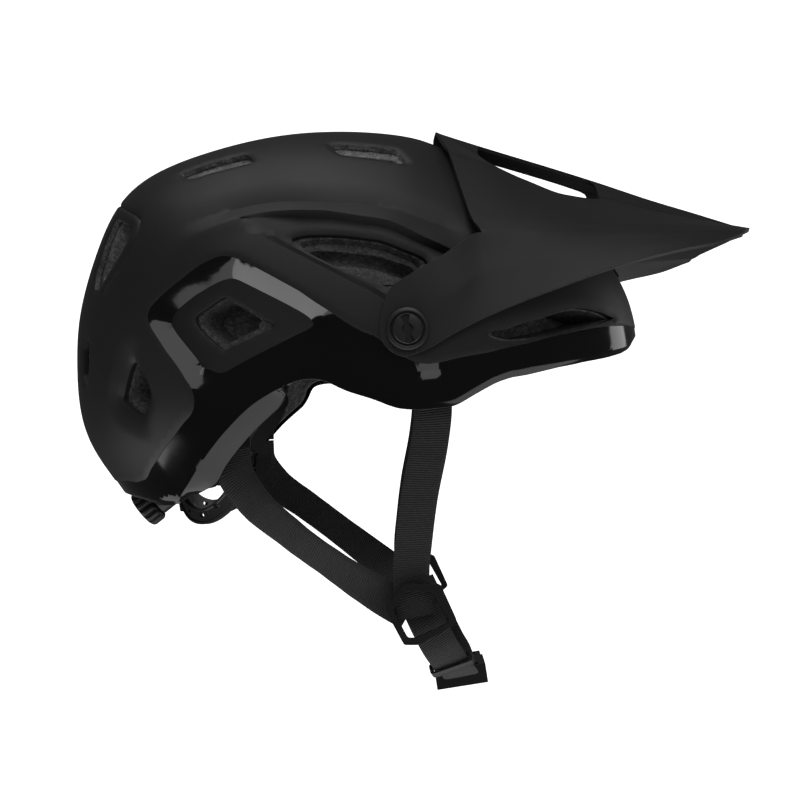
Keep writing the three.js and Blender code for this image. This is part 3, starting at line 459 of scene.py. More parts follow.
def mesh_object(name, pts, faces, mats=(), ids=None, smooth_angle=32, link=True):
    me = bpy.data.meshes.new(name)
    pts = np.asarray(pts, np.float64) * MM
    if isinstance(faces, np.ndarray) and faces.ndim == 2:
        k = faces.shape[1]
        me.vertices.add(len(pts))
        me.vertices.foreach_set("co", pts.astype(np.float32).ravel())
        me.loops.add(faces.size)
        me.loops.foreach_set("vertex_index", faces.astype(np.int32).ravel())
        me.polygons.add(len(faces))
        me.polygons.foreach_set("loop_start", (np.arange(len(faces)) * k).astype(np.int32))
        me.polygons.foreach_set("loop_total", np.full(len(faces), k, np.int32))
        me.update(calc_edges=True)
    else:
        me.from_pydata([tuple(p) for p in pts], [], [tuple(int(i) for i in f) for f in faces])
    for m in mats:
        me.materials.append(m)
    if ids is not None and len(mats) > 1:
        me.polygons.foreach_set("material_index", np.asarray(ids, np.int32))
    me.validate()
    ob = bpy.data.objects.new(name, me)
    if link:
        bpy.context.scene.collection.objects.link(ob)
    sharpen(me, smooth_angle)
    return ob


def sharpen(me, angle):
    me.polygons.foreach_set("use_smooth", np.ones(len(me.polygons), bool))
    bm = bmesh.new()
    bm.from_mesh(me)
    lim = math.radians(angle)
    for e in bm.edges:
        e.smooth = not (len(e.link_faces) == 2 and e.calc_face_angle(0) > lim) and len(e.link_faces) == 2
    bm.to_mesh(me)
    bm.free()


def mark_bevel(ob, pairs, weight=1.0):
    me = ob.data
    a = np.empty(len(me.edges) * 2, np.int32)
    me.edges.foreach_get("vertices", a)
    a = a.reshape(-1, 2).astype(np.int64)
    n = len(me.vertices) + 1
    key = a.min(1) * n + a.max(1)
    p = np.asarray(pairs, np.int64)
    want = p.min(1) * n + p.max(1)
    at_ = me.attributes.get("bevel_weight_edge") or me.attributes.new("bevel_weight_edge", "FLOAT", "EDGE")
    at_.data.foreach_set("value", np.where(np.isin(key, want), weight, 0.0).astype(np.float32))


def bevel_mod(ob, width, segments=2, angle=None):
    m = ob.modifiers.new("bevel", "BEVEL")
    m.width = width * MM
    m.segments = segments
    m.use_clamp_overlap = True
    m.harden_normals = False
    if angle is None:
        m.limit_method = "WEIGHT"
    else:
        m.limit_method = "ANGLE"
        m.angle_limit = math.radians(angle)
    return m


def closed_plate(name, top, bottom, faces, mats=(), ids=None, smooth_angle=32, edge_bevel=0.0):
    """Closed wall between two point sets that share one face list."""
    n = len(top)
    e = {}
    idl = ids if ids is not None else np.zeros(len(faces), int)
    for t, mid_ in zip(faces.tolist(), idl.tolist()):
        for i, j in ((t[0], t[1]), (t[1], t[2]), (t[2], t[0])):
            if (j, i) in e:
                del e[(j, i)]
            else:
                e[(i, j)] = mid_
    wall = np.array([(j, i, i + n) for (i, j) in e] + [(j, i + n, j + n) for (i, j) in e], int)
    allf = np.vstack([faces, faces[:, ::-1] + n, wall])
    allid = np.concatenate([idl, idl, np.array(list(e.values()) * 2, int)])
    pts = np.vstack([top, bottom])
    used = np.unique(allf)
    m = -np.ones(len(pts), int)
    m[used] = np.arange(len(used))
    ob = mesh_object(name, pts[used], m[allf], mats, allid, smooth_angle)
    if edge_bevel:
        pr = np.array(list(e.keys()), int)
        mark_bevel(ob, np.vstack([m[pr], m[pr + n]]))
        bevel_mod(ob, edge_bevel)
    return ob


def shell_piece(name, faces, hh, thick, mats, ids=None, edge_bevel=0.35):
    P, F = both_sides(HV, faces, lambda q: dome_uv(q, hh))
    Q, _ = both_sides(HV, faces, lambda q: dome_uv(q, hh - thick))
    ii = np.concatenate([ids, ids]) if ids is not None else None
    return closed_plate(name, P, Q, F, mats, ii, 34, edge_bevel)


# ------------------------------------------------------------------ materials
def new_material(name):
    m = bpy.data.materials.new(name)
    m.use_nodes = True
    nt = m.node_tree
    nt.nodes.clear()
    out = nt.nodes.new("ShaderNodeOutputMaterial")
    b = nt.nodes.new("ShaderNodeBsdfPrincipled")
    nt.links.new(b.outputs[0], out.inputs[0])
    tc = nt.nodes.new("ShaderNodeTexCoord")
    return m, nt, b, tc


def noise(nt, vec, scale, detail=3.0, rough=0.55):
    n = nt.nodes.new("ShaderNodeTexNoise")
    n.inputs["Scale"].default_value = scale
    n.inputs["Detail"].default_value = detail
    n.inputs["Roughness"].default_value = rough
    nt.links.new(vec, n.inputs["Vector"])
    return n.outputs["Fac"]


def ramp(nt, fac, stops):
    r = nt.nodes.new("ShaderNodeValToRGB")
    e = r.color_ramp.elements
    while len(e) < len(stops):
        e.new(0.5)
    for k, (p, c) in enumerate(stops):
        e[k].position = p
        e[k].color = (c[0], c[1], c[2], 1) if isinstance(c, tuple) else (c, c, c, 1)
    nt.links.new(fac, r.inputs["Fac"])
    return r.outputs["Color"]


def bump(nt, b, fac, strength, dist_mm, prev=None):
    n = nt.nodes.new("ShaderNodeBump")
    n.inputs["Strength"].default_value = strength
    n.inputs["Distance"].default_value = dist_mm * MM
    nt.links.new(fac, n.inputs["Height"])
    if prev is not None:
        nt.links.new(prev, n.inputs["Normal"])
    nt.links.new(n.outputs["Normal"], b.inputs["Normal"])
    return n.outputs["Normal"]


def mapr(nt, fac, a0, a1, b0, b1):
    n = nt.nodes.new("ShaderNodeMapRange")
    n.inputs["From Min"].default_value = a0
    n.inputs["From Max"].default_value = a1
    n.inputs["To Min"].default_value = b0
    n.inputs["To Max"].default_value = b1
    nt.links.new(fac, n.inputs["Value"])
    return n.outputs["Result"]


def painted(name, base, rough, spec, grain=0.25, fine=2600.0, tint=(1, 1, 1.03)):
    m, nt, b, tc = new_material(name)
    v = tc.outputs["Object"]
    big = noise(nt, v, 9.0, 4.0)
    c = ramp(nt, big, [(0.3, tuple(base * 0.93 * t for t in tint)), (0.7, tuple(base * 1.07 * t for t in tint))])
    nt.links.new(c, b.inputs["Base Color"])
    fn = noise(nt, v, fine, 2.0)
    nt.links.new(mapr(nt, noise(nt, v, 30.0, 3.0), 0.3, 0.7, rough - 0.03, rough + 0.03), b.inputs["Roughness"])
    b.inputs["Specular IOR Level"].default_value = spec
    bump(nt, b, fn, grain, 0.05)
    return m


M_MATT = painted("matt_shell", 0.0175, 0.52, 0.42)
M_GLOSS = painted("gloss_shell", 0.0062, 0.09, 0.42, grain=0.0, fine=500.0)
M_PLASTIC = painted("plastic", 0.015, 0.38, 0.45, grain=0.2, fine=1800.0)
M_SCREW = painted("screw", 0.02, 0.42, 0.5, grain=0.15, fine=1800.0)
M_RUBBER = painted("rubber", 0.017, 0.5, 0.4, grain=0.3, fine=2200.0)


def foam_material():
    m, nt, b, tc = new_material("foam")
    v = tc.outputs["Object"]
    vo = nt.nodes.new("ShaderNodeTexVoronoi")
    vo.inputs["Scale"].default_value = 620.0
    nt.links.new(v, vo.inputs["Vector"])
    cell = nt.nodes.new("ShaderNodeSeparateColor")
    nt.links.new(vo.outputs["Color"], cell.inputs[0])
    n1 = noise(nt, v, 1900.0, 2.0, 0.6)
    mx = nt.nodes.new("ShaderNodeMath")
    mx.operation = "MULTIPLY_ADD"
    nt.links.new(cell.outputs[0], mx.inputs[0])
    mx.inputs[1].default_value = 0.22
    nt.links.new(n1, mx.inputs[2])
    c = ramp(nt, mx.outputs[0], [(0.36, 0.05), (0.56, 0.095), (0.72, 0.18), (0.88, 0.36)])
    # painted top light: the foam's base colour is scaled from 0.72 to 1.35 with height (z 32 to 62 mm), lighter
    # towards the crown and darker low on the sides
    sp = nt.nodes.new("ShaderNodeSeparateXYZ")
    nt.links.new(v, sp.inputs[0])
    mr = nt.nodes.new("ShaderNodeMapRange")
    nt.links.new(sp.outputs[2], mr.inputs["Value"])
    for k_, x_ in (("From Min", 0.032), ("From Max", 0.062), ("To Min", 0.72), ("To Max", 1.35)):
        mr.inputs[k_].default_value = x_
    vm = nt.nodes.new("ShaderNodeVectorMath")
    vm.operation = "SCALE"
    nt.links.new(c, vm.inputs[0])
    nt.links.new(mr.outputs[0], vm.inputs["Scale"])
    nt.links.new(vm.outputs[0], b.inputs["Base Color"])
    b.inputs["Roughness"].default_value = 0.62
    b.inputs["Specular IOR Level"].default_value = 0.5
    n = bump(nt, b, vo.outputs["Distance"], 0.7, 0.35)
    bump(nt, b, n1, 0.3, 0.15, n)
    return m


M_FOAM = foam_material()


def pad_material():
    m, nt, b, tc = new_material("pad")
    v = tc.outputs["Object"]
    n1 = noise(nt, v, 900.0, 3.0, 0.6)
    vo = nt.nodes.new("ShaderNodeTexVoronoi")
    vo.inputs["Scale"].default_value = 620.0
    nt.links.new(v, vo.inputs["Vector"])
    c = ramp(nt, n1, [(0.3, 0.012), (0.75, 0.034)])
    nt.links.new(c, b.inputs["Base Color"])
    b.inputs["Roughness"].default_value = 0.92
    b.inputs["Specular IOR Level"].default_value = 0.2
    b.inputs["Sheen Weight"].default_value = 0.25
    n = bump(nt, b, vo.outputs["Distance"], 0.6, 0.25)
    bump(nt, b, n1, 0.4, 0.1, n)
    return m


M_PAD = pad_material()


def webbing_material():
    m, nt, b, tc = new_material("webbing")
    uv = nt.nodes.new("ShaderNodeUVMap")
    uv.uv_map = "UVMap"
    sp = nt.nodes.new("ShaderNodeSeparateXYZ")
    nt.links.new(uv.outputs[0], sp.inputs[0])

    def math_(op, a, b_=None, c_=None):
        n = nt.nodes.new("ShaderNodeMath")
        n.operation = op
        for k, x in enumerate((a, b_, c_)):
            if x is None:
                continue
            if isinstance(x, (int, float)):
                n.inputs[k].default_value = x
            else:
                nt.links.new(x, n.inputs[k])
        return n.outputs[0]
    # uv is in millimetres: x across the webbing, y along it; ribs slant slightly
    slant = math_("MULTIPLY_ADD", sp.outputs[0], 0.16, sp.outputs[1])
    rib = math_("SINE", math_("MULTIPLY", slant, 2 * math.pi / 1.15))
    warp = math_("SINE", math_("MULTIPLY", sp.outputs[0], 2 * math.pi / 0.9))
    h = math_("ADD", math_("MULTIPLY", rib, 0.5), math_("MULTIPLY", warp, 0.12))
    nz = noise(nt, tc.outputs["Object"], 1400.0, 3.0, 0.6)
    # base colour follows the ribs, darker in their troughs: painted shade in the weave, plus random tone from the
    # noise
    tone = math_("ADD", math_("MULTIPLY", rib, 0.28), nz)
    c = ramp(nt, tone, [(0.2, 0.011), (0.55, 0.021), (0.9, 0.036)])
    nt.links.new(c, b.inputs["Base Color"])
    b.inputs["Roughness"].default_value = 0.72
    b.inputs["Specular IOR Level"].default_value = 0.3
    b.inputs["Sheen Weight"].default_value = 0.2
    n = bump(nt, b, h, 0.7, 0.28)
    bump(nt, b, nz, 0.35, 0.08, n)
    return m


M_WEB = webbing_material()

# ------------------------------------------------------------------ shells
BODY = FU & FR & ~FVENT
upper_shell = shell_piece("shell_top", HF[BODY], HH, 2.4, [M_MATT])
# the moulded skin is far thinner than the wall of the solid, so its cut edge in the crown vents shows the foam
skin = upper_shell.data
skin.materials.append(M_FOAM)
cut_ = []
for nm_ in ("t1", "t2", "rearwin"):
    q_ = np.asarray(dome_uv(VENTS[nm_], height(VENTS[nm_]) - 1.2))
    cut_ += [q_, q_ * np.array([1.0, -1.0, 1.0])]
cut_ = np.vstack(cut_)
for pl_ in list(skin.polygons)[4 * len(HF[BODY]):]:
    if np.linalg.norm(cut_ - np.array(pl_.center) / MM, axis=1).min() < 1.7:
        pl_.material_index = 1
LOWF = ~FU & FR & ~FVENT
lower_shell = shell_piece("shell_lower", HF[LOWF], HH, 2.4, [M_GLOSS, M_MATT], FD[LOWF].astype(int))
for ob_, node_, slot_ in ((upper_shell, "upper_shell", "matt_shell"), (lower_shell, "lower_shell", "gloss_shell")):
    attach(ob_, "helmet")
    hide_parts(node_)


# ------------------------------------------------------------------ solids used as cutters and small parts
def prism_from_rings(name, rings, mats=(), cap_start=True, cap_end=True, closed=False, smooth_angle=32, flip=False):
    """Loft of equal rings; caps by fan."""
    m, n = len(rings), len(rings[0])
    pts = np.vstack(rings)
    f = []
    for i in range(m if closed else m - 1):
        for j in range(n):
            a = i * n + j
            b = i * n + (j + 1) % n
            c = ((i + 1) % m) * n + (j + 1) % n
            d = ((i + 1) % m) * n + j
            f.append((a, b, c, d))
    if not closed:
        if cap_start:
            f.append(tuple(range(n - 1, -1, -1)))
        if cap_end:
            f.append(tuple((m - 1) * n + k for k in range(n)))
    if flip:
        f = [t[::-1] for t in f]
    return mesh_object(name, pts, f, mats, None, smooth_angle)


def fix_normals(ob):
    bm = bmesh.new()
    bm.from_mesh(ob.data)
    bmesh.ops.recalc_face_normals(bm, faces=bm.faces[:])
    if bm.calc_volume(signed=True) < 0:
        bmesh.ops.reverse_faces(bm, faces=bm.faces[:])
    bm.to_mesh(ob.data)
    bm.free()
    return ob


def apply_all(ob, angle=32):
    dg = bpy.context.evaluated_depsgraph_get()
    me = bpy.data.meshes.new_from_object(ob.evaluated_get(dg))
    ob.modifiers.clear()
    ob.data = me
    sharpen(me, angle)
    return ob


def boolean(ob, others, op="DIFFERENCE", angle=32):
    for o in others:
        m = ob.modifiers.new("bool", "BOOLEAN")
        m.operation = op
        m.solver = "MANIFOLD"
        m.object = o
    apply_all(ob, angle)
    for o in others:
        bpy.data.objects.remove(o, do_unlink=True)
    return ob


def mirror_object(ob, name):
    me = ob.data.copy()
    co = np.empty(len(me.vertices) * 3, np.float32)
    me.vertices.foreach_get("co", co)
    co = co.reshape(-1, 3)
    co[:, 1] *= -1
    me.vertices.foreach_set("co", co.ravel())
    me.flip_normals()
    me.update()
    o = bpy.data.objects.new(name, me)
    bpy.context.scene.collection.objects.link(o)
    for m in ob.modifiers:
        n = o.modifiers.new(m.name, m.type)
        if m.type == "BEVEL":
            n.width, n.segments, n.limit_method, n.angle_limit = m.width, m.segments, m.limit_method, m.angle_limit
    return o


def dome_cutter(loop, d_out, d_in, steps=6, grow=0.0, inner_scale=1.0, shift=(0, 0)):
    p = offset_line(loop, grow, True) if grow else loop
    # anticlockwise in the (U, V) plane
    area = np.sum(p[:, 0] * np.roll(p[:, 1], -1) - np.roll(p[:, 0], -1) * p[:, 1])
    if area < 0:
        p = p[::-1]
    c = p.mean(0)
    rings = []
    for k in range(steps + 1):
        f = k / steps
        q = c + (p - c) * (1 + (inner_scale - 1) * f) + np.array(shift) * f
        rings.append(dome_uv(q, d_out + (d_in - d_out) * f))
    ob = prism_from_rings("cut", rings)
    return fix_normals(ob)


def lathe_z(profile, n, sx=1.0, sy=1.0, c=(0, 0, 0), name="lathe", mats=()):
    a = np.linspace(0, 2 * math.pi, n, endpoint=False)
    rings = [np.stack([c[0] + sx * r * np.cos(a), c[1] + sy * r * np.sin(a), np.full(n, c[2] + z)], 1) for r, z in profile]
    return fix_normals(prism_from_rings(name, rings, mats))


# ------------------------------------------------------------------ foam liner
foam_line = offset_line(rim, 0.75)
POLY_FOAM = np.vstack([foam_line, arc_outer(1.0, 210.4)])
FF = inside(CENT, POLY_FOAM)
FOAM_H = HH.copy()
for nm_, lp_ in VENTS.items():
    inv_ = inside(HV, lp_)
    dv_, _, _ = dist(HV, lp_, True)
    wv_, av_ = {"t1": (2.0, 1.5), "t2": (2.0, 1.5), "big": (1.3, 1.0), "dia": (0.8, 0.7), "rearlow": (1.2, 1.2), "rearslot": (1.2, 0.8), "rearwin": (1.1, 0.9), "front": (1.2, 0.9)}[nm_]
    FOAM_H = np.where(inv_, FOAM_H + av_ * (1 - ss(dv_ / wv_)) - av_, FOAM_H)
fpts = dome_uv(HV, FOAM_H - 2.9)
faces_r = HF[FF]
twin_, free_ = mirrored(faces_r, HV)
left_ = fpts[free_].copy()
left_[:, 1] *= -1
fall = [faces_r, twin_[faces_r][:, ::-1]]
eset = {}
for t_ in faces_r.tolist():
    for i_, j_ in ((t_[0], t_[1]), (t_[1], t_[2]), (t_[2], t_[0])):
        if (j_, i_) in eset:
            del eset[(j_, i_)]
        else:
            eset[(i_, j_)] = 1
closing = []
NSUB = 1
for (i_, j_) in eset:
    ti, tj = int(twin_[i_]), int(twin_[j_])
    if ti == i_ and tj == j_:
        continue
    if ti == i_:
        closing.append((j_, i_, tj))
    elif tj == j_:
        closing.append((j_, i_, ti))
    else:
        closing.append((j_, i_, ti))
        closing.append((j_, ti, tj))
fpts_all = np.vstack([fpts, left_])
ff_all = np.vstack(fall + [np.array(closing, int)])
fpts_all, ff_all = compact(fpts_all, ff_all)
foam = mesh_object("liner", fpts_all, ff_all, [M_FOAM])

prof = [(0.0, -150.0), (0.55, -150.0), (1.0, -150.0), (1.0, -100.0), (1.0, -60.0)]
for i_ in range(0, 30):
    a_ = math.radians(i_ * 3)
    prof.append((math.cos(a_), -10 + 84 * math.sin(a_)))
prof.append((0.004, 74.0))
prof[0] = (0.004, -150.0)
cavity = lathe_z(prof, 96, 104, 80, (-4, 0, 0))


def pair(o):
    return [o, mirror_object(o, o.name + "m")]


cutters = []
cutters += pair(dome_cutter(VENTS["t1"], 6, -34, 8, inner_scale=0.9, shift=(7.4, -9.4)))
cutters += pair(dome_cutter(VENTS["t2"], 6, -34, 8, inner_scale=0.9, shift=(-0.6, -12.0)))
cutters += pair(dome_cutter(VENTS["big"], 8, -12.5, 5, inner_scale=0.9, shift=(0.0, 0.3)))
big_in = VENTS["big"].mean(0) + (VENTS["big"] - VENTS["big"].mean(0)) * np.array([0.86, 0.72]) + np.array([0.0, -0.5])
cutters += pair(dome_cutter(big_in, 0, -48, 6, inner_scale=0.95, shift=(0.0, -1.0)))
cutters += pair(dome_cutter(VENTS["front"], 8, -24, 5, inner_scale=0.8))
cutters += pair(dome_cutter(VENTS["dia"], 8, -26, 6, inner_scale=0.74, shift=(-1.2, 0.6)))
cutters += pair(dome_cutter(VENTS["rearlow"], 8, -22, 5, inner_scale=0.75))
cutters += pair(dome_cutter(VENTS["rearslot"], 6, -14, 4, inner_scale=0.85, shift=(5.0, 0.5)))
cutters += pair(dome_cutter(VENTS["rearwin"], 6, -40, 8, inner_scale=0.9, shift=(9.5, -3.5)))


def boxmm(name, x0, x1, y0, y1, z0, z1, mats=(), bev_=0.0, seg=2):
    pts = np.array([(x, y, z) for x in (x0, x1) for y in (y0, y1) for z in (z0, z1)], float)
    f = [(0, 1, 3, 2), (4, 6, 7, 5), (0, 4, 5, 1), (2, 3, 7, 6), (0, 2, 6, 4), (1, 5, 7, 3)]
    ob = fix_normals(mesh_object(name, pts, f, mats, None, 32))
    if bev_:
        bevel_mod(ob, bev_, seg, 40)
    return ob


def cyl_y(name, x, z, r, y0, y1, n=40, mats=()):
    a = np.linspace(0, 2 * math.pi, n, endpoint=False)
    rings = [np.stack([x + r * np.cos(a), np.full(n, y), z + r * np.sin(a)], 1) for y in (y0, y1)]
    return fix_normals(prism_from_rings(name, rings, mats))


cutters += pair(boxmm("p1", 25, 47, 82, 86, -70, -22))
cutters += pair(boxmm("p2", -74, -50, 66, 70, -100, -52))
cutters += [boxmm("p3", -170, -84, -26, 26, -130, -58)]
cutters += pair(cyl_y("p4", -50, -38, 3.2, 60, 82.5))
cutters += pair(cyl_y("p5", 23.8, -4.4, 5.9, 87.6, 120))
# air channels pressed into the inside of the liner, front to back
for yy_, wd_ in ((-34.0, 7.0), (34.0, 7.0), (0.0, 6.0)):
    rings_ = []
    for s_ in np.linspace(24, 150, 30):
        sr_ = math.radians(s_)
        k_ = math.sqrt(max(0.0, 1 - (yy_ / 80.0) ** 2))
        cx_, cz_ = math.cos(sr_), math.sin(sr_)
        n_ = 16
        ring_ = []
        for u_ in range(n_):
            th_ = 2 * math.pi * u_ / n_
            rr_ = 5.5 * (1 if abs(math.sin(th_)) > 0 else 1)
            rad_ = rr_ * math.cos(th_)
            ring_.append((-4 + (104 * k_ + rad_) * cx_, yy_ + wd_ * math.sin(th_), -10 + (84 * k_ + rad_) * cz_))
        rings_.append(np.array(ring_))
    cutters.append(fix_normals(prism_from_rings("ch", rings_)))
boolean(foam, [cavity] + cutters, angle=40)
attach(foam, "helmet")
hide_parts("foam_liner")


# ------------------------------------------------------------------ visor
ROW_ROOF = [
    [[62, 102.6, 2], [95.4, 98.4, 15.6], [124.2, 94, 26.2], [153.6, 88, 34.4], [174.4, 80.5, 39.1], [188, 68, 44]],
    [[60.5, 98.6, 23], [95.4, 93.5, 29.5], [124, 88.5, 34.8], [153.6, 82.5, 39.2], [174.4, 75.5, 42], [189, 66, 44.8]],
    [[59.3, 93.6, 42.2], [90, 88.5, 42.5], [116.4, 83, 42.6], [150, 77, 43.9], [174, 71, 45.4], [190.4, 64, 45.9]],
    [[54.4, 89.8, 48.6], [86, 83.5, 48.6], [117, 76.5, 48], [150, 68, 48.4], [175, 62, 48.6], [192.4, 57, 47.4]],
    [[44.6, 60.5, 85.4], [64, 57.2, 80.3], [82, 53.5, 73.2], [104, 44, 66.6], [124, 31.5, 65.4], [148, 33, 60], [172, 40, 54.4], [197, 45, 49.4]],
    [[39.8, 25, 101.2], [61, 24.5, 89.6], [82, 24, 82.6], [104, 23.5, 75.6], [126, 23, 67.6], [148, 22, 61.6], [174, 20, 55.6], [200.8, 22, 51]],
    [[38.8, 18, 102.6], [72.6, 17, 92.4], [98.7, 16.4, 84.6], [125, 16, 76.4], [151, 15.6, 67.8], [177, 15.4, 60], [202.4, 15, 52]],
    [[38.6, 0, 103.2], [72.6, 0, 93], [98.7, 0, 85.2], [125, 0, 77], [151, 0, 68.2], [177, 0, 60.4], [203, 0, 52.4]]]
ROW_ARM = [
    [[23.8, 104.6, -17.2], [33, 104.6, -13.8], [43.6, 104.4, -7.6]],
    [[19, 104.6, -3], [31, 104.6, 4.4], [46, 103.2, 13]],
    [[14.6, 104.6, 12.6], [24, 104.5, 20.4], [40, 101.6, 30.2]]]
ARM_U = [-0.30, -0.21, -0.11]


def pchip(xs, ys):
    xs, ys = np.asarray(xs, float), np.asarray(ys, float)
    h = np.diff(xs)
    dl = np.diff(ys) / h
    m = np.zeros(len(xs))
    m[1:-1] = np.where(dl[:-1] * dl[1:] > 0, 2 * dl[:-1] * dl[1:] / np.where(dl[:-1] + dl[1:] == 0, 1, dl[:-1] + dl[1:]), 0)
    m[0], m[-1] = dl[0], dl[-1]

    def f(q):
        q = np.asarray(q, float)
        i = np.clip(np.searchsorted(xs, q) - 1, 0, len(xs) - 2)
        t = (q - xs[i]) / h[i]
        r = (ys[i] * (1 + 2 * t) * (1 - t) ** 2 + h[i] * m[i] * t * (1 - t) ** 2
             + ys[i + 1] * t * t * (3 - 2 * t) + h[i] * m[i + 1] * t * t * (t - 1))
        r = np.where(q < xs[0], ys[0] + m[0] * (q - xs[0]), r)
        return np.where(q > xs[-1], ys[-1] + m[-1] * (q - xs[-1]), r)
    return f


ROWF = []
for r_, row_ in enumerate(ROW_ROOF):
    x0_, x1_ = row_[0][0], row_[-1][0]
    us_ = [(p[0] - x0_) / (x1_ - x0_) for p in row_]
    pts_ = [list(p) for p in row_]
    if r_ < 3:
        us_ = ARM_U + us_
        pts_ = [list(p) for p in ROW_ARM[r_]] + pts_
    pts_ = np.array(pts_, float)
    ROWF.append([pchip(us_, pts_[:, k]) for k in range(3)])


def row_pt(r, u):
    return np.stack([f(u) for f in ROWF[r]], 1)


ROUND = [0, 0.10, 0.16, 0.16, 0.10, 0.12, 0.16, 0]


def visor_pt(u, v):
    """Left half surface of the visor; v runs over the rows, with a small radius at each crease."""
    u, v = np.asarray(u, float), np.clip(np.asarray(v, float), 0, 7)
    rows = [row_pt(r, u) for r in range(8)]
    R = np.stack(rows, 0)
    idx = np.arange(len(u))
    i = np.clip(np.floor(v).astype(int), 0, 6)
    f = v - i
    out = R[i, idx] * (1 - f)[:, None] + R[i + 1, idx] * f[:, None]
    for r in range(1, 7):
        w = ROUND[r]
        mk = np.abs(v - r) < w
        if r < 3:
            pass
        if not mk.any():
            continue
        s = (v[mk] - (r - w)) / (2 * w)
        A = R[r - 1, idx[mk]] * w + R[r, idx[mk]] * (1 - w)
        B = R[r, idx[mk]]
        C = R[r, idx[mk]] * (1 - w) + R[r + 1, idx[mk]] * w
        if r == 2:
            arm = u[mk] < 0
            C[arm] = B[arm] + (B[arm] - A[arm])
        out[mk] = A * ((1 - s) ** 2)[:, None] + 2 * B * (s * (1 - s))[:, None] + C * (s ** 2)[:, None]
    # rows of the arm end meet flat around the pivot
    return out


def visor_inv(x, z):
    """(u, v) on the arm for a side-view point."""
    u, v = -0.3, 1.0
    for _ in range(60):
        def P(u_, v_):
            i = 0 if v_ < 1 else 1
            f = v_ - i
            a, b = row_pt(i, [u_])[0], row_pt(i + 1, [u_])[0]
            q = a * (1 - f) + b * f
            return np.array([q[0], q[2]])
        p = P(u, v)
        e = np.array([x, z]) - p
        if np.hypot(*e) < 1e-4:
            break
        h = 1e-4
        J = np.stack([(P(u + h, v) - p) / h, (P(u, v + h) - p) / h], 1)
        st = np.linalg.solve(J, e)
        st = np.clip(st, -0.1, 0.1)
        u, v = u + st[0] * 0.9, v + st[1] * 0.9
    return u, v


SU, SV = 150.0, 15.0
eye = [(33.0, -13.9)]
for a_ in (-75, -90, -105, -120, -135, -150, -165, 180, 168):
    r_ = 13.2 if a_ != -75 else 12.9
    eye.append((23.8 + r_ * math.cos(math.radians(a_)), -4.4 + r_ * math.sin(math.radians(a_))))
eye += [(11.6, 3.0), (12.9, 9.2), (15.3, 14.4), (19.6, 18.0), (24.6, 21.0)]
eye_uv = np.array([visor_inv(x, z) for x, z in eye])
u_lo, u_up = eye_uv[0, 0], eye_uv[-1, 0]
lower = np.stack([np.linspace(u_lo, 1, 90), np.zeros(90)], 1)
lower[:, 1] = 0
upper_arm = np.stack([np.linspace(0, u_up, 16), np.full(16, 2.0)], 1)
tip = np.stack([np.ones(24), np.linspace(0, 7, 24)], 1)
rear = np.stack([np.zeros(20), np.linspace(7, 2, 20)], 1)
centre_ = np.stack([np.linspace(1, 0, 70), np.full(70, 7.0)], 1)
eyeseg = eye_uv[::-1][1:-1]
sc = np.array([SU, SV])
eyes = resample(chaikin(np.vstack([upper_arm[-1:], eyeseg, lower[:1]]) * sc, 2), 1.6)
bnd = np.vstack([lower[:-1] * sc, tip[:-1] * sc, centre_[:-1] * sc, rear[:-1] * sc, upper_arm[:-1] * sc, eyes[:-1]])
slot_u = (0.13, 0.515)
sl = [(slot_u[0], 4.25), (slot_u[0] + 0.012, 4.04), (0.2, 4.0), (0.3, 4.0), (0.42, 4.0), (0.505, 4.03), (slot_u[1], 4.2), (slot_u[1] + 0.006, 4.9), (slot_u[1], 5.6), (0.50, 5.9), (0.44, 5.985), (0.3, 6.0), (0.2, 6.0), (slot_u[0] + 0.012, 5.95), (slot_u[0], 5.7)]
slot_loop = resample(chaikin(np.array(sl) * sc, 2, True), 1.3, True)


def visor_mesh(step):
    pts, edges = [], []

    def loop(p):
        b = len(pts)
        pts.extend(p.tolist())
        edges.extend((b + i, b + (i + 1) % len(p)) for i in range(len(p)))

    def open_(p):
        b = len(pts)
        pts.extend(p.tolist())
        edges.extend((b + i, b + i + 1) for i in range(len(p) - 1))
    loop(bnd)
    loop(slot_loop)
    for r in range(1, 7):
        for dv in ((-ROUND[r], 0, ROUND[r])):
            v = r + dv
            us = np.arange(-0.17 if r < 2 else 0.01, 0.995, 0.012)
            if 4.0 <= v <= 6.001:
                us = us[(us < slot_u[0] - 0.01) | (us > slot_u[1] + 0.012)]
                a = us[us < slot_u[0]]
                c = us[us > slot_u[1]]
                for q in (a, c):
                    if len(q) > 1:
                        open_(np.stack([q * SU, np.full(len(q), v * SV)], 1))
                continue
            open_(np.stack([us * SU, np.full(len(us), v * SV)], 1))
    fx = np.array(pts)
    dy = step * math.sqrt(3) / 2
    rows = []
    for j in range(int(7 * SV / dy) + 1):
        x = np.arange(-0.5 * SU, SU, step) + (step / 2 if j % 2 else 0)
        rows.append(np.stack([x, np.full_like(x, j * dy)], 1))
    g = np.vstack(rows)
    g = g[inside(g, bnd)]
    d = np.full(len(g), 1e9)
    for i in range(0, len(g), 3000):
        d[i:i + 3000] = np.sqrt(((g[i:i + 3000, None] - fx[None]) ** 2).sum(2)).min(1)
    g = g[d > step * 0.45]
    pts += g.tolist()
    v, e, f, *_ = delaunay_2d_cdt([Vector(p) for p in pts], edges, [], 0, 1e-4)
    V = np.array([[p.x, p.y] for p in v])
    F = np.array([list(t) for t in f], int)
    a = np.cross(V[F[:, 1]] - V[F[:, 0]], V[F[:, 2]] - V[F[:, 0]])
    F = F[np.abs(a) > 1e-9]
    a = a[np.abs(a) > 1e-9]
    F[a < 0] = F[a < 0][:, ::-1]
    c = V[F].mean(1)
    F = F[inside(c, bnd) & ~inside(c, slot_loop)]
    used = np.unique(F)
    m = -np.ones(len(V), int)
    m[used] = np.arange(len(used))
    return V[used], m[F]


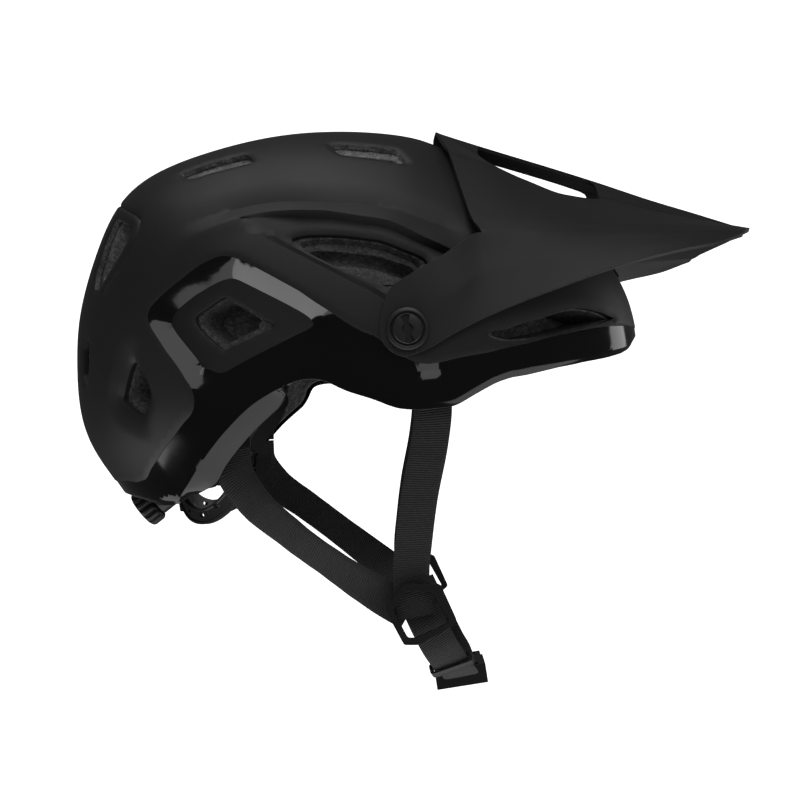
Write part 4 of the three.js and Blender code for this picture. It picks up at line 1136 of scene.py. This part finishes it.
VV, VF = visor_mesh(1.7)
vp = visor_pt(VV[:, 0] / SU, VV[:, 1] / SV)
vp[vp[:, 0] < 30, 1] = np.minimum(vp[vp[:, 0] < 30, 1], 104.6)
onmid = VV[:, 1] > 7 * SV - 1e-3
vp[onmid, 1] = 0
nv = len(vp)
tw = np.where(onmid, np.arange(nv), -1)
fr_ = np.where(~onmid)[0]
tw[fr_] = nv + np.arange(len(fr_))
ml = vp[fr_].copy()
ml[:, 1] *= -1
vall = np.vstack([vp, ml])
# left faces must face out: check and set
a_, b_, c_ = vp[VF[:, 0]], vp[VF[:, 1]], vp[VF[:, 2]]
nn_ = np.cross(b_ - a_, c_ - a_)
if nn_[:, 1].sum() + nn_[:, 2].sum() < 0:
    VF = VF[:, ::-1]
vfall = np.vstack([VF, tw[VF][:, ::-1]])


def vertex_normals(p, f):
    n = np.zeros_like(p)
    k = np.cross(p[f[:, 1]] - p[f[:, 0]], p[f[:, 2]] - p[f[:, 0]])
    for c in range(3):
        np.add.at(n, f[:, c], k)
    return n / np.maximum(np.linalg.norm(n, axis=1), 1e-12)[:, None]


vnorm = vertex_normals(vall, vfall)
visor = closed_plate("visor_blade", vall, vall - 1.9 * vnorm, vfall, [M_MATT], None, 36, 0.4)
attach(visor, "visor")
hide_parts("visor")


# ------------------------------------------------------------------ visor screws
def revolve_y(name, profile, cx, cz, y0, n=72, mats=()):
    """profile: (radius, distance out along -Y)."""
    a = np.linspace(0, 2 * math.pi, n, endpoint=False)
    rings = [np.stack([cx + max(r, 0.01) * np.cos(a), np.full(n, -(y0 + h)), cz + max(r, 0.01) * np.sin(a)], 1) for r, h in profile]
    return fix_normals(prism_from_rings(name, rings, mats, smooth_angle=28))


def poly_y(name, outline, y0, y1, mats=()):
    p = np.array(outline, float)
    rings = [np.stack([p[:, 0], np.full(len(p), y), p[:, 1]], 1) for y in (y0, y1)]
    return fix_normals(prism_from_rings(name, rings, mats))


sp_ = [(2.6, -10.8), (2.6, 0.0), (8.6, 0.0), (9.7, 0.15), (10.0, 0.5), (10.0, 1.7), (9.8, 2.1), (9.3, 2.4), (8.5, 2.6), (8.1, 2.5), (7.75, 2.1),
       (7.6, 1.7), (7.3, 1.7), (7.15, 2.2), (7.0, 2.9), (6.7, 3.25), (6.2, 3.4), (0.01, 3.5)]
sc_r = revolve_y("screw_right", sp_, 23.8, -4.4, 104.9, 96, [M_SCREW])
hour = [(-2.3, -6.2), (-1.2, -6.7), (0, -6.85), (1.2, -6.7), (2.3, -6.2), (1.0, -2.7), (2.7, -0.9), (2.7, 0.9), (1.0, 2.7), (2.3, 6.2), (1.2, 6.7), (0, 6.85),
        (-1.2, 6.7), (-2.3, 6.2), (-1.0, 2.7), (-2.7, 0.9), (-2.7, -0.9), (-1.0, -2.7)]
rt_ = math.radians(12)
hour = [(23.8 + x * math.cos(rt_) - z * math.sin(rt_), -4.4 + x * math.sin(rt_) + z * math.cos(rt_)) for x, z in hour]
boolean(sc_r, [poly_y("hg", hour, -112, -106.6)], angle=28)
bevel_mod(sc_r, 0.18, 2, 50)
sc_l = mirror_object(sc_r, "screw_left")
for ob_, body_, node_ in ((sc_r, "screw_right", "visor_screw_right"), (sc_l, "screw_left", "visor_screw_left")):
    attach(ob_, body_)
    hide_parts(node_)


# ------------------------------------------------------------------ webbing
def catmull(P, n):
    P = np.array(P, float)
    d = np.concatenate([[0], np.cumsum(np.linalg.norm(np.diff(P, axis=0), axis=1))])
    t = np.linspace(0, d[-1], n)
    return np.stack([pchip2(d, P[:, k])(t) for k in range(P.shape[1])], 1), t


def pchip2(x, y):
    """Natural-looking cubic (finite-difference tangents)."""
    x, y = np.asarray(x, float), np.asarray(y, float)
    h = np.diff(x)
    dl = np.diff(y) / h
    m = np.empty(len(x))
    m[1:-1] = (dl[:-1] * h[1:] + dl[1:] * h[:-1]) / (h[1:] + h[:-1])
    m[0], m[-1] = dl[0], dl[-1]

    def f(q):
        i = np.clip(np.searchsorted(x, q) - 1, 0, len(x) - 2)
        t = (q - x[i]) / h[i]
        return (y[i] * (1 + 2 * t) * (1 - t) ** 2 + h[i] * m[i] * t * (1 - t) ** 2 + y[i + 1] * t * t * (3 - 2 * t) + h[i] * m[i + 1] * t * t * (t - 1))
    return f


def webbing(name, path, wdirs, width=18.0, thick=1.5, bow=0.0, step=1.2, phase=0.0):
    n = max(8, int(np.sum(np.linalg.norm(np.diff(np.array(path), axis=0), axis=1)) / step))
    P, t = catmull(path, n)
    Wd, _ = catmull([list(p) + list(w) for p, w in zip(path, wdirs)], n)
    Wd = Wd[:, 3:6]
    T = np.gradient(P, axis=0)
    T /= np.linalg.norm(T, axis=1)[:, None]
    Wd = Wd - (Wd * T).sum(1)[:, None] * T
    Wd /= np.linalg.norm(Wd, axis=1)[:, None]
    N = np.cross(T, Wd)
    # section: rounded edges, gently domed faces
    sec = []
    k = 11
    for i in range(k + 1):
        s = -1 + 2 * i / k
        e = min(1.0, (1 - abs(s)) / 0.07)
        sec.append((s * width / 2 * (1 if abs(s) < 1 else 1), thick / 2 * (0.45 + 0.55 * math.sqrt(max(0.0, 1 - (1 - e) ** 2)))))
    top = sec
    bot = [(x, -h) for x, h in reversed(sec)]
    ring2 = top + bot
    rings, uvs = [], []
    for i in range(n):
        wav = 0.10 * math.sin(t[i] * 0.21 + phase) + 0.06 * math.sin(t[i] * 0.53 + 1 + phase)
        rings.append(np.array([P[i] + Wd[i] * x + N[i] * (h + wav + bow * (1 - (2 * x / width) ** 2)) for x, h in ring2]))
    m, c = len(rings), len(ring2)
    pts = np.vstack(rings)
    F = []
    for i in range(m - 1):
        for j in range(c):
            F.append((i * c + j, i * c + (j + 1) % c, (i + 1) * c + (j + 1) % c, (i + 1) * c + j))
    F.append(tuple(range(c - 1, -1, -1)))
    F.append(tuple((m - 1) * c + j for j in range(c)))
    me = bpy.data.meshes.new(name)
    me.from_pydata([tuple(p * MM) for p in pts], [], F)
    me.materials.append(M_WEB)
    uvl = me.uv_layers.new(name="UVMap")
    vi = np.empty(len(me.loops), np.int32)
    me.loops.foreach_get("vertex_index", vi)
    ux = np.array([x for x, h in ring2])
    uv = np.stack([ux[vi % c], t[vi // c]], 1)
    uvl.data.foreach_set("uv", uv.astype(np.float32).ravel())
    me.validate()
    ob = bpy.data.objects.new(name, me)
    bpy.context.scene.collection.objects.link(ob)
    fix_normals(ob)
    sharpen(ob.data, 50)
    return ob


def W(x, z):
    return (x, 0.0, z)


for s_, side_ in ((1, "left"), (-1, "right")):
    def Y(path):
        return [(x, s_ * y, z) for x, y, z in path]
    fr_path = Y([(36.2, 84, -30.8), (36.1, 84, -44.7), (34.7, 81.6, -57), (29.6, 75.6, -85), (27.2, 70.6, -105), (25.8, 66.6, -122), (26.5, 66.2, -134), (28.6, 66.2, -144)])
    fr = webbing(f"webbing_front_{side_}", fr_path, [W(1, 0), W(1, -0.05), W(1, -0.1), W(1, -0.12), W(1, -0.1), W(1, -0.03), W(1, 0.1), W(1, 0.3)], bow=0.15)
    g_ = 4.5 if s_ < 0 else 0.0
    re_path = Y([(-62, 68, -61.4), (-61, 68, -72), (-52.4, 67, -84.5 - g_ * 0.4), (-33.6, 66, -98.5 - g_), (-11, 64.9, -115.2 - g_), (4, 64.2, -126.6 - g_ * 0.7), (17.5, 63.6, -136.5 - g_ * 0.3), (25, 63.6, -142)])
    re = webbing(f"webbing_rear_{side_}", re_path, [W(1, 0.05), W(1, 0.3), (0.7, s_ * 0.3, 0.7), (0.52, s_ * 0.5, 0.7), (0.5, s_ * 0.5, 0.7), (0.54, s_ * 0.3, 0.75), W(0.55, 0.8), W(0.55, 0.8)], bow=0.15, phase=1.3)
    ch_path = [(31, 61.6, -141.5), (35, 61.4, -150), (39.6, 58.6, -159), (44.4, 52.5, -167), (48, 44, -173), (50.4, 37, -176.2)]
    ch_w = [W(1, 0.42), W(1, 0.42), W(1, 0.38), W(1, 0.3), W(1, 0.22), W(1, 0.18), W(1, 0.16)]
    if s_ < 0:
        ch_path.append((51.8, 30.6, -178.9))
    else:
        ch_path += [(51.9, 27, -179.8), (52, 17.5, -180.4)]
        ch_w.append(W(1, 0.16))
    chn = webbing(f"webbing_chin_{side_}", Y(ch_path), ch_w, bow=0.1, phase=2.1)
    for ob_, node_ in ((fr, "strap_front_"), (re, "strap_rear_"), (chn, "chin_strap_")):
        if ob_ is chn and s_ > 0:
            # sewn to the plug at its end, held by the divider at the other
            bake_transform(ob_)
        else:
            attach(ob_, "helmet")
        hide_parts(node_ + side_)

# ------------------------------------------------------------------ strap dividers
DIV_OUT = [(21.8, -127.2), (38.4, -127.2), (40.4, -128.2), (48.2, -145.3), (43.3, -149.7), (29.1, -157.1), (22.3, -157.1), (13, -139.9)]
DIV_IN = [(23.4, -130.8), (36.5, -130.8), (44.6, -145.2), (41.6, -147.6), (27.6, -153.8), (24.2, -153.8), (16.8, -140.2)]


def frame_plate(name, outer, inner, y0, y1, mats, bev_=0.7):
    def rnd(p):
        p = np.array(p, float)
        q = []
        for k in range(len(p)):
            a, b, c = p[k - 1], p[k], p[(k + 1) % len(p)]
            la, lc = np.linalg.norm(a - b), np.linalg.norm(c - b)
            r = min(1.1, 0.3 * la, 0.3 * lc)
            A, C = b + (a - b) / la * r, b + (c - b) / lc * r
            for t in (0, 0.33, 0.67, 1):
                q.append(A * (1 - t) ** 2 + 2 * b * t * (1 - t) + C * t * t)
        return np.array(q)
    o, i = rnd(outer), rnd(inner)
    pts, edges = [], []
    for p in (o, i):
        b = len(pts)
        pts += p.tolist()
        edges += [(b + k, b + (k + 1) % len(p)) for k in range(len(p))]
    v, e, f, *_ = delaunay_2d_cdt([Vector(p) for p in pts], edges, [], 0, 1e-5)
    V = np.array([[q.x, q.y] for q in v])
    F = np.array([list(t) for t in f], int)
    a = np.cross(V[F[:, 1]] - V[F[:, 0]], V[F[:, 2]] - V[F[:, 0]])
    F[a < 0] = F[a < 0][:, ::-1]
    c = V[F].mean(1)
    F = F[inside(c, o) & ~inside(c, i)]
    top = np.stack([V[:, 0], np.full(len(V), y0), V[:, 1]], 1)
    bot = np.stack([V[:, 0], np.full(len(V), y1), V[:, 1]], 1)
    ob = closed_plate(name, top, bot, F, mats, None, 40, bev_)
    return fix_normals(ob)


div_r = frame_plate("divider_right", DIV_OUT, DIV_IN, -70.6, -67.6, [M_PLASTIC], 0.75)
div_l = mirror_object(div_r, "divider_left")
mark = None
for ob_, side_ in ((div_r, "right"), (div_l, "left")):
    for m_ in list(ob_.modifiers):
        ob_.modifiers.remove(m_)
    bevel_mod(ob_, 0.75, 3, 50)
    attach(ob_, "helmet")
    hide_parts("strap_divider_" + side_)

# ------------------------------------------------------------------ buckle
BK = Matrix.Translation(Vector((52 * MM, 0, -180.4 * MM))) @ Matrix.Rotation(math.radians(-9), 4, "Y")


def in_buckle(ob):
    ob.data.transform(BK)
    return ob


def union(name, parts, cuts=(), bev_=0.8, seg=3, mats=(), angle=32):
    base = parts[0]
    base.name = name
    if len(parts) > 1:
        boolean(base, parts[1:], "UNION", angle)
    if cuts:
        boolean(base, list(cuts), "DIFFERENCE", angle)
    if bev_:
        bevel_mod(base, bev_, seg, 40)
    return base


sock = union("buckle_socket_body", [boxmm("a", -13.3, 13.3, -27.8, 0.9, -4.9, 4.9, [M_PLASTIC])],
             [boxmm("c", -11, 11, -15.5, 4, -2.9, 2.9), boxmm("c", -20, -10.2, -12.5, -4, -2.0, 2.0), boxmm("c", 10.2, 20, -12.5, -4, -2.0, 2.0),
              boxmm("c", -9.8, 9.8, -25.5, -20.2, -8, 8), boxmm("c", -8.5, 8.5, -17.5, -3.5, 4.3, 8), boxmm("c", -8.5, 8.5, -17.5, -3.5, -8, -4.3)], 0.7, 3)
in_buckle(sock)
plug = union("buckle_plug_body", [boxmm("a", -12.5, 12.5, 1.7, 16.9, -4.3, 4.3, [M_PLASTIC]), boxmm("b", -10.4, -6.4, -14.5, 3, -2.3, 2.3),
                                  boxmm("b", 6.4, 10.4, -14.5, 3, -2.3, 2.3), boxmm("b", -2.1, 2.1, -12.9, 3, -2.3, 2.3)],
             [boxmm("c", -9.8, 9.8, 9.6, 14.4, -8, 8), boxmm("c", -20, 20, 4.4, 5.3, 3.8, 9), boxmm("c", -20, 20, 6.2, 7.1, 3.8, 9),
              boxmm("c", -20, 20, 4.4, 5.3, -9, -3.8), boxmm("c", -20, 20, 6.2, 7.1, -9, -3.8)], 0.6, 3)
in_buckle(plug)
for ob_, body_, node_ in ((sock, "helmet", "buckle_socket"), (plug, "plug", "buckle_plug")):
    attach(ob_, body_)
    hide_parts(node_)

# keeper: elastic band around the right chin strap
kc = np.array((46.4, -48.4, -170.2))
kt = np.array((3.6, 8.5, -6.0))
kt /= np.linalg.norm(kt)
kw = np.array((1.0, 0.0, 0.26))
kw = kw - kw.dot(kt) * kt
kw /= np.linalg.norm(kw)
kn = np.cross(kt, kw)
rings_ = []
NK = 44
for off, hw, hh_ in ((-2.3, 10.9, 2.7), (-2.4, 11.3, 3.1), (-2.0, 11.45, 3.25), (2.0, 11.45, 3.25), (2.4, 11.3, 3.1), (2.3, 10.9, 2.7), (2.3, 10.2, 2.1), (-2.3, 10.2, 2.1)):
    ring_ = []
    for k in range(NK):
        a_ = 2 * math.pi * k / NK
        ca, sa = math.cos(a_), math.sin(a_)
        x = math.copysign(abs(ca) ** 0.16, ca) * hw
        z = math.copysign(abs(sa) ** 0.45, sa) * hh_
        ring_.append(kc + kt * off + kw * x + kn * z)
    rings_.append(np.array(ring_))
keeper = fix_normals(prism_from_rings("keeper_band", rings_, [M_RUBBER], closed=True, smooth_angle=45))
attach(keeper, "helmet")
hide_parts("strap_keeper")

# ------------------------------------------------------------------ occipital cradle
def cradle_pt(psi, z, d):
    k = np.where(z < -70, (z + 70) * 0.16, 0)
    return np.stack([-4 - (94 + d + k) * np.cos(np.radians(psi)), (70 + d + k) * np.sin(np.radians(psi)), z], -1)


def cradle_band(name, pts, width, t, closed, lip=0.55):
    p = np.array(pts, float)
    q = p * np.array([1.35, 1.0])
    if closed:
        q = resample(chaikin(q, 3, True), 1.4, True)
    else:
        q = resample(chaikin(q, 3, False), 1.4, False)
    T = (np.roll(q, -1, 0) - np.roll(q, 1, 0)) if closed else np.gradient(q, axis=0)
    T /= np.linalg.norm(T, axis=1)[:, None]
    Nn = np.stack([-T[:, 1], T[:, 0]], 1)
    hw = width / 2
    sec = [(-hw, 0), (hw, 0), (hw, t + lip), (hw - 1.1, t + lip), (hw - 1.5, t - 0.1), (-hw + 1.5, t - 0.1), (-hw + 1.1, t + lip), (-hw, t + lip)]
    rings = []
    for a, b in zip(q, Nn):
        rings.append(np.stack([cradle_pt((a[0] + b[0] * u) / 1.35, a[1] + b[1] * u, d) for u, d in sec], 0))
    ob = fix_normals(prism_from_rings(name, rings, [M_PLASTIC], closed=closed, smooth_angle=40))
    return ob


RING = [(11, -86), (18, -93.5), (28, -97.5), (38, -96.5), (47, -90), (53, -81), (55.5, -71), (53.5, -62), (46, -57.5), (36, -60), (25, -67), (15, -76)]
ARMC = [(51, -62), (56, -54), (59.5, -46), (60.7, -41)]


def deform_box(name, nu, nv, nw, fn, mats=(), angle=40):
    """Closed box in (u, v, w), each 0..1, mapped by fn(u, v, w) arrays."""
    bm = bmesh.new()
    idx = {}

    def vert(i, j, k):
        key = (i, j, k)
        if key not in idx:
            p = fn(i / nu, j / nv, k / nw)
            idx[key] = bm.verts.new((p[0] * MM, p[1] * MM, p[2] * MM))
        return idx[key]
    for k in (0, nw):
        for i in range(nu):
            for j in range(nv):
                bm.faces.new([vert(i, j, k), vert(i + 1, j, k), vert(i + 1, j + 1, k), vert(i, j + 1, k)])
    for j in (0, nv):
        for i in range(nu):
            for k in range(nw):
                bm.faces.new([vert(i, j, k), vert(i + 1, j, k), vert(i + 1, j, k + 1), vert(i, j, k + 1)])
    for i in (0, nu):
        for j in range(nv):
            for k in range(nw):
                bm.faces.new([vert(i, j, k), vert(i, j + 1, k), vert(i, j + 1, k + 1), vert(i, j, k + 1)])
    me = bpy.data.meshes.new(name)
    bm.to_mesh(me)
    bm.free()
    for m in mats:
        me.materials.append(m)
    ob = bpy.data.objects.new(name, me)
    bpy.context.scene.collection.objects.link(ob)
    fix_normals(ob)
    sharpen(me, angle)
    return ob


def cpt(psi, z, d):
    return cradle_pt(np.array([psi]), np.array([z], float), d)[0]


def along_dial(name, prof, n=72, mats=(), lobes=0, depth=0.0, groove=(0, 0)):
    """Lathe about the dial axis: profile (radius, distance inward from the outer face)."""
    ax = np.array((0.78, 0, 0.626))
    ax /= np.linalg.norm(ax)
    e1 = np.array((0.0, 1.0, 0.0))
    e2 = np.cross(ax, e1)
    c = np.array((-117.7, 0, -96.9))
    rings = []
    for r, s in prof:
        ring = []
        for k in range(n):
            a = 2 * math.pi * k / n
            rr = max(r, 0.01)
            if lobes and groove[0] <= s <= groove[1] and r > 6:
                rr = r - depth * (0.5 + 0.5 * math.cos(lobes * a)) ** 2.5
            ring.append(c + ax * s + rr * (math.cos(a) * e1 + math.sin(a) * e2))
        rings.append(np.array(ring))
    return fix_normals(prism_from_rings(name, rings, mats, smooth_angle=38))


ringr = cradle_band("cradle_body", RING, 8, 2.0, True)
parts = [mirror_object(ringr, "rl"), cradle_band("arm", ARMC, 9, 2.0, False)]
parts.append(mirror_object(parts[-1], "al"))
eye_c = cyl_y("ec", -50, -38, 6.2, 60.2, 62.4, 40)
parts += [eye_c, mirror_object(eye_c, "ecm")]
parts.append(deform_box("br", 16, 8, 1, lambda u, v, w: cpt(-13 + 26 * u, -96 + 26 * v, 3 * w)))
parts.append(deform_box("st", 5, 14, 1, lambda u, v, w: cpt(-5 + 10 * u, -72 + 44 * v, 2.2 * w)))
parts.append(along_dial("ho", [(8.0, 9.0), (8.6, 9.5), (8.6, 24.2)], 56))
holes = []
for psi_, z_ in ((50.3, -77), (51.5, -68.5), (42.5, -90.8), (33, -96.2), (23, -94.5), (46.5, -60.6), (36, -61.8), (27, -67.4), (18.5, -75.8)):
    for sg in (1, -1):
        c_ = cpt(sg * psi_, z_, 1.0)
        nrm = np.array((c_[0] + 4, c_[1] * (94 / 70.0) ** 2 * 0.9, 0.0))
        nrm /= np.linalg.norm(nrm)
        e1 = np.array((0, 0, 1.0))
        e2 = np.cross(nrm, e1)
        rings_ = []
        for h in (-5.0, 6.0):
            rings_.append(np.array([c_ + nrm * h + (1.15 * math.cos(a) * e1 + 2.0 * math.sin(a) * e2) for a in np.linspace(0, 2 * math.pi, 18, endpoint=False)]))
        holes.append(fix_normals(prism_from_rings("ch", rings_)))
ph = cyl_y("ph", -50, -38, 3.0, 40, 90, 32)
holes += [ph, mirror_object(ph, "phm"), along_dial("dh", [(2.9, -2.0), (2.9, 20.0)], 32)]
for x0_, x1_ in ((-92, -70), ):
    pass
# slots of the height rack in the stem
for z_ in (-62, -55, -48, -41, -34):
    rings_ = []
    c_ = cpt(0.0, z_, 1.0)
    holes.append(boxmm("sl", c_[0] - 4, c_[0] + 4, -4.2, 4.2, z_ - 1.1, z_ + 1.1))
boolean(ringr, parts, "UNION", 40)
boolean(ringr, holes, "DIFFERENCE", 40)
bevel_mod(ringr, 0.3, 2, 50)
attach(ringr, "cradle")
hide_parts("cradle")

dial = along_dial("fit_knob", [(5.6, 0.9), (6.4, 0.9), (6.7, 0.1), (8.8, 0.05), (9.7, 0.5), (10.3, 1.3), (10.5, 2.2), (10.5, 6.6), (10.2, 7.6), (9.5, 8.3), (8.4, 8.6), (2.4, 8.6), (2.4, 16.8)],
                  168, [M_RUBBER], lobes=14, depth=1.5, groove=(1.0, 7.9))
bevel_mod(dial, 0.15, 2, 50)
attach(dial, "dial")
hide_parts("fit_dial")


# ------------------------------------------------------------------ pads
def cav_pt(phi, s, d):
    e = math.radians(max(s, 0))
    return np.array((-4 + (104 - d) * math.cos(e) * math.cos(math.radians(phi)), (80 - d) * math.cos(e) * math.sin(math.radians(phi)),
                     -10 + ((84 - d) * math.sin(e) if s >= 0 else s)))


def cushion(name, fn, nu, nv, rib=0):
    def g(u, v, w):
        e = min(1.0, min(u, 1 - u) * nu / 3.0, min(v, 1 - v) * nv / 3.0)
        k = math.sqrt(max(0.0, 1 - (1 - e) ** 2))
        r = 1.0
        if rib:
            r -= 0.16 * (0.5 + 0.5 * math.cos(2 * math.pi * rib * u)) ** 6
        return fn(u, v, 0.10 + 0.88 * k * r * w if w > 0 else 0.04)
    ob = deform_box(name, nu, nv, 1, g, [M_PAD], 60)
    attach(ob, "helmet")
    return ob


pb = cushion("brow_pad", lambda u, v, w: cav_pt(-58 + 116 * u, -5 + 10 * (v * 2) if v < 0.5 else 22 * (v - 0.5), 0.5 + 6 * w) if v >= 0.5 else cav_pt(-58 + 116 * u, -5 + 10 * v, 0.5 + 6 * w), 80, 12, 6)
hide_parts("pad_brow")


def crown(u, v, w):
    l, m, d = math.radians(42 + 96 * u), math.radians(-9 + 18 * v), 0.6 + 6 * w
    return np.array((-4 + (104 - d) * math.cos(m) * math.cos(l), (80 - d) * math.sin(m), -10 + (84 - d) * math.cos(m) * math.sin(l)))


pc = cushion("crown_pad", crown, 70, 14, 4)
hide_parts("pad_crown")
for s_, side_ in ((1, "left"), (-1, "right")):
    p_ = cushion(f"side_pad_{side_}", lambda u, v, w, s=s_: cav_pt(s * (74 + 36 * u), -4 + 8 * v if v < 0.5 else 40 * (v - 0.5), 0.5 + 6 * w), 36, 16, 2)
    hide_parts("pad_side_" + side_)

# ------------------------------------------------------------------ CAD pieces shown as they are, with their finish
for node_, mat_, slot_ in (("visor_boss_left", M_PLASTIC, "plastic"), ("visor_boss_right", M_PLASTIC, "plastic"), ("visor_stop", M_RUBBER, "rubber"),
                           ("cradle_peg_left", M_PLASTIC, "plastic"), ("cradle_peg_right", M_PLASTIC, "plastic"), ("fit_belt_left", M_PLASTIC, "plastic"),
                           ("fit_belt_right", M_PLASTIC, "plastic"), ("height_guide", M_PLASTIC, "plastic"), ("anchor_front_left", M_PLASTIC, "plastic"),
                           ("anchor_front_right", M_PLASTIC, "plastic"), ("anchor_rear_left", M_PLASTIC, "plastic"), ("anchor_rear_right", M_PLASTIC, "plastic")):
    o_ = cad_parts[node_]
    o_.data.materials.clear()
    o_.data.materials.append(mat_)
    bevel_mod(o_, 0.25, 2, 40)

# ------------------------------------------------------------------ camera, stage, light
cam_d = bpy.data.cameras.new("camera")
cam_d.lens = 67.29
cam_d.sensor_width = 36.0
cam_d.clip_start = 0.01
cam = bpy.data.objects.new("camera", cam_d)
cam.location = (0.0203, -0.8, -0.0375)
cam.rotation_euler = (math.pi / 2, 0, 0)
bpy.context.scene.collection.objects.link(cam)
bpy.context.scene.camera = cam


def stage_plane(name, corners, colour, emit, glossy=False, diffuse=True):
    me = bpy.data.meshes.new(name)
    me.from_pydata(corners, [], [(0, 1, 2, 3)])
    m, nt, b, tc = new_material(name)
    c = ramp(nt, noise(nt, tc.outputs["Object"], 2.0), [(0.3, colour * 0.995), (0.7, colour)])
    nt.links.new(c, b.inputs["Base Color"])
    b.inputs["Roughness"].default_value = 0.9
    b.inputs["Specular IOR Level"].default_value = 0.0
    b.inputs["Emission Color"].default_value = (1, 1, 1, 1)
    b.inputs["Emission Strength"].default_value = emit
    me.materials.append(m)
    o = bpy.data.objects.new(name, me)
    bpy.context.scene.collection.objects.link(o)
    o.visible_glossy = glossy
    o.visible_diffuse = diffuse
    o.visible_shadow = False
    return o


stage_plane("backdrop", [(-4, 2.2, -1.2), (4, 2.2, -1.2), (4, 2.2, 3), (-4, 2.2, 3)], 0.9, 1.2, False, False)
stage_plane("floor", [(-4, -4, -1.2), (4, -4, -1.2), (4, 2.2, -1.2), (-4, 2.2, -1.2)], 0.85, 0.15, False, True)

world = bpy.data.worlds.new("world")
bpy.context.scene.world = world
world.use_nodes = True
wt = world.node_tree
bg_ = wt.nodes.get("Background") or wt.nodes.new("ShaderNodeBackground")
bg_.inputs[0].default_value = (1, 1, 1, 1)
bg_.inputs[1].default_value = 0.07


def area(name, loc, target, sx, sy, power, glossy=True, diffuse=True):
    d = bpy.data.lights.new(name, "AREA")
    d.shape = "RECTANGLE"
    d.size, d.size_y, d.energy = sx, sy, power
    o = bpy.data.objects.new(name, d)
    o.location = loc
    o.rotation_euler = (Vector(target) - Vector(loc)).to_track_quat("-Z", "Y").to_euler()
    bpy.context.scene.collection.objects.link(o)
    o.visible_glossy = glossy
    o.visible_diffuse = diffuse
    return o


area("top", (-0.30, -0.25, 1.15), (-0.02, 0, 0), 1.0, 0.9, 4.6, True)
area("front_fill", (-0.2, -1.35, 0.65), (0, 0, 0), 1.3, 0.9, 1.8, False)
area("under", (0.0, -0.30, -0.95), (0.0, -0.30, 0), 3.0, 1.3, 18, True, False)
area("left_gloss", (-1.03, -0.40, -0.92), (-0.05, -0.09, 0.02), 0.5, 0.5, 1.8, True, False)
area("top_gloss", (0.14, -0.95, 0.84), (-0.05, -0.09, 0), 0.6, 1.0, 3.3, True, False)
area("nose_gloss", (1.25, 0.52, 0.14), (0.13, -0.05, 0), 0.5, 0.5, 1.6, True, False)
area("right_high", (1.3, -0.7, 0.35), (0, 0, 0), 0.9, 0.9, 2.6, False, True)
area("right_low", (1.35, -0.6, -0.3), (0.1, 0, -0.02), 0.7, 0.6, 2, False, True)
bpy.context.scene.view_settings.view_transform = "Standard"
bpy.context.scene.view_settings.look = "None"
